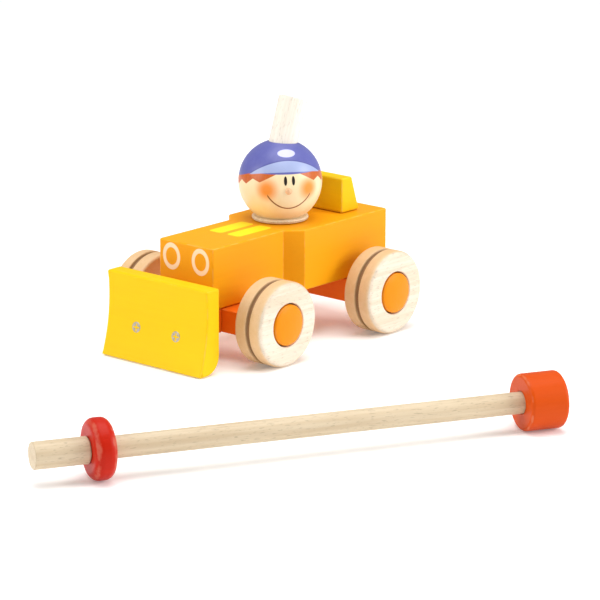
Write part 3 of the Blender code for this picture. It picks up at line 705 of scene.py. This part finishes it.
def step_down(tree, value, start, end):
    """1 below the start, 0 above the end, and smooth between them."""
    made = node(
        tree,
        "ShaderNodeMapRange",
        {"Value": value, "From Min": start, "From Max": end, "To Min": 1.0, "To Max": 0.0},
        interpolation_type="SMOOTHSTEP",
    )
    return made.outputs["Result"]


def mix_colour(tree, amount, below, above):
    """Blend from one colour to another by an amount from 0 to 1."""
    made = node(tree, "ShaderNodeMix", data_type="RGBA")
    for socket, value in ((made.inputs[0], amount), (made.inputs[6], below), (made.inputs[7], above)):
        if isinstance(value, bpy.types.NodeSocket):
            tree.links.new(value, socket)
        else:
            socket.default_value = value
    return made.outputs[2]


def new_group(name, inputs, outputs):
    """A shader node group with named sockets: (name, type, default) in and (name, type) out."""
    tree = bpy.data.node_groups.new(name, "ShaderNodeTree")
    for label, kind, default in inputs:
        socket = tree.interface.new_socket(label, in_out="INPUT", socket_type="NodeSocket" + kind)
        if default is not None:
            socket.default_value = default
    for label, kind in outputs:
        tree.interface.new_socket(label, in_out="OUTPUT", socket_type="NodeSocket" + kind)
    return tree, tree.nodes.new("NodeGroupInput").outputs, tree.nodes.new("NodeGroupOutput").inputs


def use_group(tree, group, inputs):
    """Place a group in a material and return its outputs."""
    made = tree.nodes.new("ShaderNodeGroup")
    made.node_tree = group
    for key, value in inputs.items():
        if isinstance(value, bpy.types.NodeSocket):
            tree.links.new(value, made.inputs[key])
        else:
            made.inputs[key].default_value = value
    return made.outputs


# %% [markdown]
# ## Beech grain
# Beech is pale and even. It shows faint growth lines along the board and many short brown flecks.
# Both are noise stretched along one axis: low along the grain and quick across it. Here the grain
# runs along the pattern's own Z, and each finish turns the pattern to suit its piece.

# %% The grain group
GRAIN, grain_in, grain_out = new_group(
    "beech_grain",
    [("Vector", "Vector", None), ("Growth Lines", "Float", 420.0), ("Fleck Size", "Float", 1700.0)],
    [("Tone", "Float"), ("Flecks", "Float"), ("Height", "Float")],
)


def stretched(tree, vector, across, along_ratio):
    """Scale a pattern's coordinates: quick across the grain and slow along it."""
    wide = node(tree, "ShaderNodeVectorMath", {0: vector, "Scale": across}, operation="SCALE")
    ratio = (1.0, 1.0, along_ratio)
    return node(tree, "ShaderNodeVectorMath", {0: wide.outputs[0], 1: ratio}, operation="MULTIPLY").outputs[0]


def grain_noise(across, along_ratio, detail):
    """Noise stretched along the grain, in the grain group."""
    place = stretched(GRAIN, grain_in["Vector"], across, along_ratio)
    made = node(GRAIN, "ShaderNodeTexNoise", {"Vector": place, "Scale": 1.0, "Detail": detail})
    return made.outputs["Fac"]


lines = grain_noise(grain_in["Growth Lines"], 0.035, 5.0)
broad = grain_noise(70.0, 0.15, 2.0)
fleck = grain_noise(grain_in["Fleck Size"], 0.16, 1.0)
tone = calc(GRAIN, "MULTIPLY_ADD", lines, 0.65, calc(GRAIN, "MULTIPLY", broad, 0.35))
flecks = calc(GRAIN, "SUBTRACT", 1.0, step_down(GRAIN, fleck, 0.60, 0.72))
height = calc(GRAIN, "SUBTRACT", tone, calc(GRAIN, "MULTIPLY", flecks, 0.5))
for label, value in (("Tone", tone), ("Flecks", flecks), ("Height", height)):
    GRAIN.links.new(value, grain_out[label])
print("group:", GRAIN.name)

# %% [markdown]
# ## Worn edges
# Handling rubs painted wood where it sticks out. The meshes carry an edge value, and patchy noise
# breaks it up, so the wear comes and goes along an edge instead of drawing a line round it.

# %% The wear group
WEAR, wear_in, wear_out = new_group(
    "handled_edges",
    [("Vector", "Vector", None), ("Edge", "Float", 0.0), ("Amount", "Float", 0.5)],
    [("Wear", "Float"), ("Smudge", "Float")],
)
patches = node(WEAR, "ShaderNodeTexNoise", {"Vector": wear_in["Vector"], "Scale": 190.0, "Detail": 4.0})
cloud = node(WEAR, "ShaderNodeTexNoise", {"Vector": wear_in["Vector"], "Scale": 28.0, "Detail": 3.0})
rubbed = calc(WEAR, "MULTIPLY", wear_in["Edge"], patches.outputs["Fac"])
rubbed = calc(WEAR, "SUBTRACT", 1.0, step_down(WEAR, rubbed, 0.34, 0.60))
WEAR.links.new(calc(WEAR, "MULTIPLY", rubbed, wear_in["Amount"]), wear_out["Wear"])
WEAR.links.new(cloud.outputs["Fac"], wear_out["Smudge"])
print("group:", WEAR.name)

# %% [markdown]
# ## Painted and bare wood
# The paint is a thin satin coat, so the grain below still shows a little as relief and as a faint
# change of shade. Bare wood has the grain's own colours under a clear lacquer.

# %% One recipe for paint and one for bare wood


def pattern_place(tree, centre=(0, 0, 0), turn=(0, 0, 0)):
    """Object coordinates, centred and turned so that the grain runs along the pattern's Z."""
    place = node(tree, "ShaderNodeTexCoord").outputs["Object"]
    mapping = node(tree, "ShaderNodeMapping", {"Vector": place}, vector_type="TEXTURE")
    mapping.inputs["Location"].default_value = centre
    mapping.inputs["Rotation"].default_value = turn
    return mapping.outputs["Vector"]


def new_material(name):
    """A material with a Principled shader, and its node tree and shader."""
    material = bpy.data.materials.new(name)
    material.use_nodes = True
    return material, material.node_tree, material.node_tree.nodes["Principled BSDF"]


def relief(tree, shader, height, strength, distance=0.0004):
    """Small bumps on the shading, from a height pattern."""
    bump = node(tree, "ShaderNodeBump", {"Height": height, "Strength": strength, "Distance": distance})
    tree.links.new(bump.outputs["Normal"], shader.inputs["Normal"])


def painted_wood(name, colour, turn=(0, 0, 0), gloss=0.5, wear=0.3, marks=None, centre=(0, 0, 0)):
    """Satin paint on beech.  marks, if given, paints over the colour before the wear."""
    material, tree, shader = new_material(name)
    vector = pattern_place(tree, centre, turn)
    grain = use_group(tree, GRAIN, {"Vector": vector, "Growth Lines": 520.0, "Fleck Size": 1500.0})
    edge = node(tree, "ShaderNodeAttribute", attribute_name="edge").outputs["Fac"]
    worn = use_group(tree, WEAR, {"Vector": vector, "Edge": edge, "Amount": wear})
    deep = tuple(0.90 * channel for channel in colour)
    shade = calc(tree, "MULTIPLY_ADD", grain["Tone"], 1.1, calc(tree, "MULTIPLY", worn["Smudge"], 0.5))
    paint = mix_colour(tree, calc(tree, "SUBTRACT", shade, 0.35), (*deep, 1), (*colour, 1))
    if marks is not None:
        paint = marks(tree, paint)
    light = tuple(0.62 * channel + 0.34 * wood for channel, wood in zip(colour, (0.93, 0.78, 0.52)))
    tree.links.new(mix_colour(tree, worn["Wear"], paint, (*light, 1)), shader.inputs["Base Color"])
    rough = calc(tree, "MULTIPLY_ADD", worn["Smudge"], 0.16, gloss - 0.08)
    tree.links.new(calc(tree, "MULTIPLY_ADD", worn["Wear"], 0.25, rough), shader.inputs["Roughness"])
    shader.inputs["Specular IOR Level"].default_value = 0.14
    relief(tree, shader, grain["Height"], 0.22)
    return material


# Painted shade for the wheels: a tan over a tread and a dark brown at the bottom of a groove.
TREAD_SHADE_TAN, GROOVE_SHADE_BROWN = (0.68, 0.40, 0.15), (0.20, 0.085, 0.025)


def bare_wood(name, light, dark, turn=(0, 0, 0), centre=(0, 0, 0), gloss=0.5):
    """Lacquered beech, from a light and a dark colour of the wood."""
    material, tree, shader = new_material(name)
    vector = pattern_place(tree, centre, turn)
    grain = use_group(tree, GRAIN, {"Vector": vector})
    edge = node(tree, "ShaderNodeAttribute", attribute_name="edge").outputs["Fac"]
    worn = use_group(tree, WEAR, {"Vector": vector, "Edge": edge, "Amount": 0.3})
    lines = calc(tree, "SUBTRACT", 1.0, step_down(tree, grain["Tone"], 0.36, 0.66))
    wood = mix_colour(tree, lines, (*dark, 1), (*light, 1))
    brown = tuple(0.62 * channel for channel in dark)
    wood = mix_colour(tree, calc(tree, "MULTIPLY", grain["Flecks"], 0.55), wood, (*brown, 1))
    wood = mix_colour(tree, worn["Wear"], wood, (*brown, 1))
    # Painted shade on a wheel, from the side value: tan over its tread, then dark brown towards the bottom of
    # its groove.
    side = node(tree, "ShaderNodeAttribute", attribute_name="side").outputs["Fac"]
    tan = calc(tree, "MULTIPLY", calc(tree, "MINIMUM", side, 0.5), 1.5)
    wood = mix_colour(tree, tan, wood, (*TREAD_SHADE_TAN, 1))
    groove = calc(tree, "MULTIPLY", calc(tree, "MAXIMUM", calc(tree, "SUBTRACT", side, 0.5), 0.0), 1.7)
    wood = mix_colour(tree, groove, wood, (*GROOVE_SHADE_BROWN, 1))
    tree.links.new(wood, shader.inputs["Base Color"])
    rough = calc(tree, "MULTIPLY_ADD", grain["Tone"], 0.2, gloss - 0.1)
    tree.links.new(rough, shader.inputs["Roughness"])
    relief(tree, shader, grain["Height"], 0.35)
    return material


def wear_finish(piece, material):
    """Give a finished piece its material."""
    piece.data.materials.clear()
    piece.data.materials.append(material)


# %% [markdown]
# ## Marks on the body
# Two yellow stripes lie on the hood, and two rings make headlights on its front. Each mark is a
# distance: from a rounded rectangle for a stripe, and from an ellipse for a ring. Paint goes where the
# distance is small. Thin pieces laid on top would be simpler, but paint has no thickness.

# %% Stripes and headlights
STRIPE_YELLOW = (0.95, 0.68, 0.01)
LAMP_PEACH = (0.95, 0.72, 0.48)
STRIPE_OFFSET, STRIPE_SETBACK = 7.0 * MM, 47.0 * MM
STRIPE_HALF_WIDTH, STRIPE_HALF_LENGTH, STRIPE_ROUND = 2.6 * MM, 12.5 * MM, 2.3 * MM
LAMP_OFFSET, LAMP_DROP = 11.3 * MM, 9.2 * MM
LAMP_HALF_WIDTH, LAMP_HALF_HEIGHT = 5.6 * MM, 6.6 * MM
PAINT_BLUR = 0.2 * MM
FACE_MARGIN = 0.4 * MM
hood_top = body_high[2]


def paint_marks(tree, paint):
    """Stripes on the hood's top and rings on its front."""
    place = node(tree, "ShaderNodeTexCoord").outputs["Object"]
    x, y, z = node(tree, "ShaderNodeSeparateXYZ", {0: place}).outputs
    offset = calc(tree, "ABSOLUTE", calc(tree, "SUBTRACT", x, MIDDLE))
    sideways = calc(tree, "ABSOLUTE", calc(tree, "SUBTRACT", offset, STRIPE_OFFSET))
    lengthways = calc(tree, "ABSOLUTE", calc(tree, "SUBTRACT", y, HOOD_FRONT + STRIPE_SETBACK))
    out_x = calc(tree, "MAXIMUM", calc(tree, "SUBTRACT", sideways, STRIPE_HALF_WIDTH), 0.0)
    out_y = calc(tree, "MAXIMUM", calc(tree, "SUBTRACT", lengthways, STRIPE_HALF_LENGTH), 0.0)
    stripe = step_down(tree, distance(tree, out_x, out_y), STRIPE_ROUND, STRIPE_ROUND + PAINT_BLUR)
    on_top = calc(tree, "GREATER_THAN", z, hood_top - FACE_MARGIN)
    paint = mix_colour(tree, calc(tree, "MULTIPLY", stripe, on_top), paint, (*STRIPE_YELLOW, 1))
    wide = calc(tree, "DIVIDE", calc(tree, "SUBTRACT", offset, LAMP_OFFSET), LAMP_HALF_WIDTH)
    tall = calc(tree, "DIVIDE", calc(tree, "SUBTRACT", z, hood_top - LAMP_DROP), LAMP_HALF_HEIGHT)
    off_ring = calc(tree, "ABSOLUTE", calc(tree, "SUBTRACT", distance(tree, wide, tall), 1.0))
    ring = step_down(tree, off_ring, 0.19, 0.23)
    in_front = calc(tree, "LESS_THAN", y, HOOD_FRONT + FACE_MARGIN)
    return mix_colour(tree, calc(tree, "MULTIPLY", ring, in_front), paint, (*LAMP_PEACH, 1))


# %% [markdown]
# ## The driver's paint
# The cap, the hair and the face are painted straight on the ball. Directions from the ball's centre
# are its map: azimuth is how far round from the nose, elevation how far above the ball's equator, both
# in degrees. Each painted shape is then a plain curve or ellipse on that map.

# %% The face, the cap and the hair
CAP_BLUE = (0.135, 0.145, 0.40)
VISOR_BLUE = (0.33, 0.39, 0.62)
BADGE_LILAC = (0.55, 0.55, 0.88)
HAIR_RED = (0.60, 0.135, 0.012)
SKIN = (0.88, 0.73, 0.47)
CHEEK = (0.84, 0.25, 0.006)
INK = (0.012, 0.007, 0.006)
SMILE = (0.22, 0.07, 0.02)
FACE_TURN = atan2(look[0], -look[1])


def ellipse_mask(tree, azimuth, elevation, middle, size, soft):
    """1 inside an ellipse on the map and 0 outside, with a soft rim."""
    wide = calc(tree, "DIVIDE", calc(tree, "SUBTRACT", azimuth, middle[0]), size[0])
    tall = calc(tree, "DIVIDE", calc(tree, "SUBTRACT", elevation, middle[1]), size[1])
    return step_down(tree, distance(tree, wide, tall), 1.0 - soft, 1.0 + soft)


def above(tree, value, limit, soft=0.5):
    """1 where a value is above a limit."""
    over = calc(tree, "SUBTRACT", value, limit)
    return calc(tree, "SUBTRACT", 1.0, step_down(tree, over, -soft, soft))


def driver_paint():
    """The head's material: skin, cheeks, smile, eyes, hair, cap, visor and a plain badge."""
    material, tree, shader = new_material("driver_face_paint")
    vector = pattern_place(tree, tuple(HEAD_CENTRE), (0, 0, FACE_TURN))
    aim = node(tree, "ShaderNodeVectorMath", {0: vector}, operation="NORMALIZE").outputs[0]
    right, behind, up = node(tree, "ShaderNodeSeparateXYZ", {0: aim}).outputs
    ahead = calc(tree, "MULTIPLY", behind, -1.0)
    azimuth = calc(tree, "DEGREES", calc(tree, "ARCTAN2", right, ahead))
    elevation = calc(tree, "DEGREES", calc(tree, "ARCSINE", up))
    turned = calc(tree, "ABSOLUTE", azimuth)
    squared = calc(tree, "MULTIPLY", azimuth, azimuth)
    grain = use_group(tree, GRAIN, {"Vector": vector})
    skin = mix_colour(tree, grain["Tone"], (0.82, 0.64, 0.37, 1), (*SKIN, 1))

    for sign in (-1, 1):
        cheek = ellipse_mask(tree, azimuth, elevation, (sign * 30.5, -1.0), (12.5, 12.5), 0.7)
        skin = mix_colour(tree, calc(tree, "MULTIPLY", cheek, 0.95), skin, (*CHEEK, 1))
    across = calc(tree, "SUBTRACT", azimuth, 2.0)
    bend = calc(tree, "MULTIPLY", across, across)
    curve = calc(tree, "MULTIPLY_ADD", bend, calc(tree, "MULTIPLY_ADD", bend, 0.000004, 0.016), -28.8)
    slope = calc(tree, "MULTIPLY", across, 0.04)
    steep = calc(tree, "POWER", calc(tree, "MULTIPLY_ADD", slope, slope, 1.0), 0.5)
    off = calc(tree, "DIVIDE", calc(tree, "ABSOLUTE", calc(tree, "SUBTRACT", elevation, curve)), steep)
    smile = calc(tree, "MULTIPLY", step_down(tree, off, 0.75, 1.3), step_down(tree, bend, 950.0, 1050.0))
    skin = mix_colour(tree, smile, skin, (*SMILE, 1))
    for place in (-4.3, 6.9):
        eye = ellipse_mask(tree, azimuth, elevation, (place, 11.8), (2.3, 6.4), 0.1)
        skin = mix_colour(tree, eye, skin, (*INK, 1))

    teeth = calc(tree, "PINGPONG", calc(tree, "ADD", turned, 7.8), 12.2)
    teeth = calc(tree, "MAXIMUM", teeth, calc(tree, "SUBTRACT", 41.0, turned))
    hang = calc(tree, "MINIMUM", calc(tree, "MULTIPLY_ADD", turned, -0.218, 17.4), 8.5)
    fringe = calc(tree, "MULTIPLY_ADD", teeth, 0.53, calc(tree, "MAXIMUM", hang, -8.0))
    hair = above(tree, elevation, fringe)
    strands = node(
        tree,
        "ShaderNodeTexNoise",
        {"Vector": stretched(tree, vector, 900.0, 0.12), "Scale": 1.0, "Detail": 3.0},
    )
    hair_colour = mix_colour(tree, strands.outputs["Fac"], (0.42, 0.075, 0.008, 1), (*HAIR_RED, 1))
    paint = mix_colour(tree, hair, skin, hair_colour)

    cap_edge = calc(tree, "MULTIPLY_ADD", step_down(tree, turned, 45.0, 100.0), 11.0, 9.5)
    cap = above(tree, elevation, cap_edge)
    cap_shade = mix_colour(tree, grain["Tone"], (0.085, 0.09, 0.33, 1), (*CAP_BLUE, 1))
    paint = mix_colour(tree, cap, paint, cap_shade)
    visor_low = calc(tree, "MULTIPLY_ADD", squared, -0.0018, 23.6)
    visor_top = calc(tree, "MULTIPLY_ADD", squared, -0.0061, 39.8)
    brim = calc(tree, "MULTIPLY", above(tree, elevation, visor_low), step_down(tree, turned, 61.0, 64.0))
    under_top = step_down(tree, calc(tree, "SUBTRACT", elevation, visor_top), -0.5, 0.5)
    in_width = step_down(tree, turned, 55.0, 60.0)
    below_brim = calc(tree, "MULTIPLY", in_width, above(tree, cap_edge, elevation))
    paint = mix_colour(tree, calc(tree, "MULTIPLY", below_brim, hair), paint, hair_colour)
    paint = mix_colour(tree, calc(tree, "MULTIPLY", brim, under_top), paint, (*VISOR_BLUE, 1))
    # A thin dark blue line along the visor's top edge is a painted shadow, cast by the visor's ledge.
    visor_shadow_line = calc(tree, "ABSOLUTE", calc(tree, "SUBTRACT", elevation, calc(tree, "ADD", visor_top, 0.9)))
    visor_shadow_line = calc(tree, "MULTIPLY", step_down(tree, visor_shadow_line, 0.4, 1.0), step_down(tree, turned, 58.0, 62.0))
    paint = mix_colour(tree, calc(tree, "MULTIPLY", visor_shadow_line, 0.6), paint, (0.05, 0.05, 0.22, 1))
    badge = ellipse_mask(tree, azimuth, elevation, (2.0, 52.5), (20.0, 7.0), 0.06)
    paint = mix_colour(tree, badge, paint, (*BADGE_LILAC, 1))
    tree.links.new(paint, shader.inputs["Base Color"])
    rough = calc(tree, "MULTIPLY_ADD", grain["Tone"], 0.15, 0.30)
    tree.links.new(rough, shader.inputs["Roughness"])
    shader.inputs["Coat Weight"].default_value = 0.08
    shader.inputs["Coat Roughness"].default_value = 0.2
    shader.inputs["Specular IOR Level"].default_value = 0.35
    relief(tree, shader, grain["Height"], 0.15)
    return material


wear_finish(head_piece, driver_paint())

# %% [markdown]
# ## Giving every piece its finish
# The boards' grain runs along the truck, so their pattern is turned to lie along Y. The blade's and
# the blocks' grain runs across it. Each wheel's pattern is centred on its own axle, so that no two
# wheels show the same grain.

# %% Paints
ALONG_TRUCK = (pi / 2, 0, 0)
ACROSS_TRUCK = (0, pi / 2, 0)
ORANGE = (0.88, 0.36, 0.003)
SHADED_BLOCK_ORANGE = (0.88, 0.16, 0.006)
YELLOW = (0.86, 0.54, 0.001)
HUB_ORANGE = (0.84, 0.26, 0.002)
RING_RED = (0.52, 0.014, 0.002)
KNOB_ORANGE = (0.64, 0.072, 0.001)
wear_finish(
    body_piece, painted_wood("body_orange_paint", ORANGE, ALONG_TRUCK, marks=paint_marks)
)
# The blocks under the body take a redder, deeper orange than the body's paint, with the shade that falls
# under the body painted into it.
block_paint = painted_wood("block_orange_painted_shade", SHADED_BLOCK_ORANGE, ACROSS_TRUCK)
for block in under_blocks:
    wear_finish(block, block_paint)
wear_finish(blade_piece, painted_wood("blade_yellow_paint", YELLOW, ACROSS_TRUCK))
wear_finish(seat_piece, painted_wood("seat_yellow_paint", YELLOW, ACROSS_TRUCK))
cap_paint = painted_wood("hub_cap_orange_paint", HUB_ORANGE, gloss=0.4, wear=0.2)
for cap in hub_caps:
    wear_finish(cap, cap_paint)
STICK_TURN = (0, pi / 2, STICK_HEADING)
ring_paint = painted_wood("ring_red_paint", RING_RED, STICK_TURN, 0.36)
knob_paint = painted_wood("knob_orange_paint", KNOB_ORANGE, STICK_TURN, 0.42)
wear_finish(stick_pieces["stick_ring"], ring_paint)
wear_finish(stick_pieces["stick_knob"], knob_paint)

# %% Bare wood and steel
BEECH_LIGHT, BEECH_DARK = (0.80, 0.70, 0.58), (0.70, 0.58, 0.43)
ROD_LIGHT, ROD_DARK = (0.66, 0.54, 0.37), (0.57, 0.44, 0.28)
STUB_LIGHT, STUB_DARK = (0.88, 0.82, 0.73), (0.80, 0.72, 0.61)
rod_wood = bare_wood("stick_beech", ROD_LIGHT, ROD_DARK, STICK_TURN)
for rod in ("stick_lower_rod", "stick_dowel"):
    wear_finish(stick_pieces[rod], rod_wood)
stub_wood = bare_wood("stub_beech", STUB_LIGHT, STUB_DARK, (-STUB_LEAN, 0, 0))
wear_finish(stub_piece, stub_wood)
for i, (wheel, centre) in enumerate(wheels):
    finish = bare_wood(
        f"{wheel.name}_beech", BEECH_LIGHT, BEECH_DARK, (pi / 2, radians(50 * i), 0), tuple(centre)
    )
    wear_finish(wheel, finish)
pale_wood = bare_wood("pale_turned_wood", (0.90, 0.79, 0.60), (0.80, 0.64, 0.42))
wear_finish(collar_piece, pale_wood)
nose_wood = bare_wood("nose_tinted_wood", (0.80, 0.50, 0.28), (0.66, 0.36, 0.18))
wear_finish(nose_piece, nose_wood)

dowel_wood = bare_wood("dowel_beech", BEECH_LIGHT, BEECH_DARK)
axle_wood = bare_wood("axle_beech", BEECH_LIGHT, BEECH_DARK, ACROSS_TRUCK)
for name, wood in (
    ("head_dowel", dowel_wood),
    ("seat_dowel_left", dowel_wood),
    ("seat_dowel_right", dowel_wood),
    ("front_axle", axle_wood),
    ("rear_axle", axle_wood),
):
    kept = frame["nodes"][name]
    kept.data.materials.clear()
    kept.data.materials.append(wood)


def plated_steel():
    """Dull zinc on steel: a grey that varies in cloudy patches, with fine scratches."""
    material, tree, shader = new_material("screw_zinc")
    vector = pattern_place(tree)
    clouds = node(tree, "ShaderNodeTexNoise", {"Vector": vector, "Scale": 900.0, "Detail": 3.0})
    cloudy = clouds.outputs["Fac"]
    colour = mix_colour(tree, cloudy, (0.26, 0.22, 0.17, 1), (0.52, 0.48, 0.42, 1))
    tree.links.new(colour, shader.inputs["Base Color"])
    tree.links.new(calc(tree, "MULTIPLY_ADD", cloudy, 0.3, 0.25), shader.inputs["Roughness"])
    shader.inputs["Metallic"].default_value = 1.0
    relief(tree, shader, cloudy, 0.2, 0.0001)
    return material


steel = plated_steel()
for screw in screws:
    wear_finish(screw, steel)
print("materials:", len(bpy.data.materials))

# %% [markdown]
# ## Floor, light and camera
# A pale floor and three large soft lamps give the even light of a product studio. The camera has a
# long lens from the truck's front left, a little above it. Its shift only frames the picture.

# %% The floor
FLOOR_HALF = 3.0
floor_mesh = bpy.data.meshes.new("studio_floor")
floor_corners = [(x * FLOOR_HALF, y * FLOOR_HALF, 0) for x, y in ((-1, -1), (1, -1), (1, 1), (-1, 1))]
floor_mesh.from_pydata(floor_corners, [], [(0, 1, 2, 3)])
floor = bpy.data.objects.new("studio_floor", floor_mesh)
bpy.context.scene.collection.objects.link(floor)
floor_paper, paper_tree, paper_shader = new_material("studio_paper")
paper_grain = node(
    paper_tree,
    "ShaderNodeTexNoise",
    {"Vector": pattern_place(paper_tree), "Scale": 350.0, "Detail": 4.0},
).outputs["Fac"]
paper_tree.links.new(
    mix_colour(paper_tree, paper_grain, (0.90, 0.90, 0.90, 1), (0.94, 0.94, 0.94, 1)),
    paper_shader.inputs["Base Color"],
)
paper_shader.inputs["Roughness"].default_value = 0.9
paper_shader.inputs["Emission Color"].default_value = (1.0, 1.0, 1.0, 1.0)
paper_shader.inputs["Emission Strength"].default_value = 0.15
floor_mesh.materials.append(floor_paper)

# %% The lamps and the sky


def soft_lamp(name, place, size, power, aim):
    """A square area lamp at a place, turned towards a point."""
    lamp = bpy.data.lights.new(name, "AREA")
    lamp.size = size
    lamp.energy = power
    holder = bpy.data.objects.new(name, lamp)
    bpy.context.scene.collection.objects.link(holder)
    holder.location = place
    towards = np.array(aim) - np.array(place)
    holder.rotation_euler = (
        atan2(hypot(towards[0], towards[1]), -towards[2]),
        0.0,
        atan2(-towards[0], towards[1]),
    )
    return holder


middle = (MIDDLE, HOOD_FRONT + 60 * MM, 45 * MM)
soft_lamp("left_side_lamp", (1.5, 1.0, 0.8), 1.0, 24, middle)
soft_lamp("front_lamp", (-1.0, -1.45, 0.8), 1.0, 17, middle)
soft_lamp("top_lamp", (0.0, 0.1, 1.8), 1.6, 30, middle)
sky = bpy.data.worlds.new("studio_sky")
sky.use_nodes = True
backdrop = sky.node_tree.nodes["Background"]
backdrop.inputs["Color"].default_value = (1.0, 1.0, 1.0, 1.0)
backdrop.inputs["Strength"].default_value = 0.36
bpy.context.scene.world = sky
bpy.context.scene.view_settings.view_transform = "Standard"
bpy.context.scene.view_settings.look = "None"

# %% The camera
CAMERA_AZIMUTH, CAMERA_ELEVATION = radians(41.67), radians(14.38)
CAMERA_DISTANCE = 2.043
back = np.array([
    sin(CAMERA_AZIMUTH) * cos(CAMERA_ELEVATION),
    -cos(CAMERA_AZIMUTH) * cos(CAMERA_ELEVATION),
    sin(CAMERA_ELEVATION),
])
lens = bpy.data.cameras.new("studio_camera")
lens.lens = 208.0
lens.sensor_width = 36.0
lens.shift_x = 0.0747
lens.shift_y = -0.063
lens.clip_end = 50.0
camera = bpy.data.objects.new("studio_camera", lens)
bpy.context.scene.collection.objects.link(camera)
camera.location = np.array(middle) + CAMERA_DISTANCE * back
camera.rotation_euler = (pi / 2 - CAMERA_ELEVATION, 0.0, CAMERA_AZIMUTH)
bpy.context.scene.camera = camera
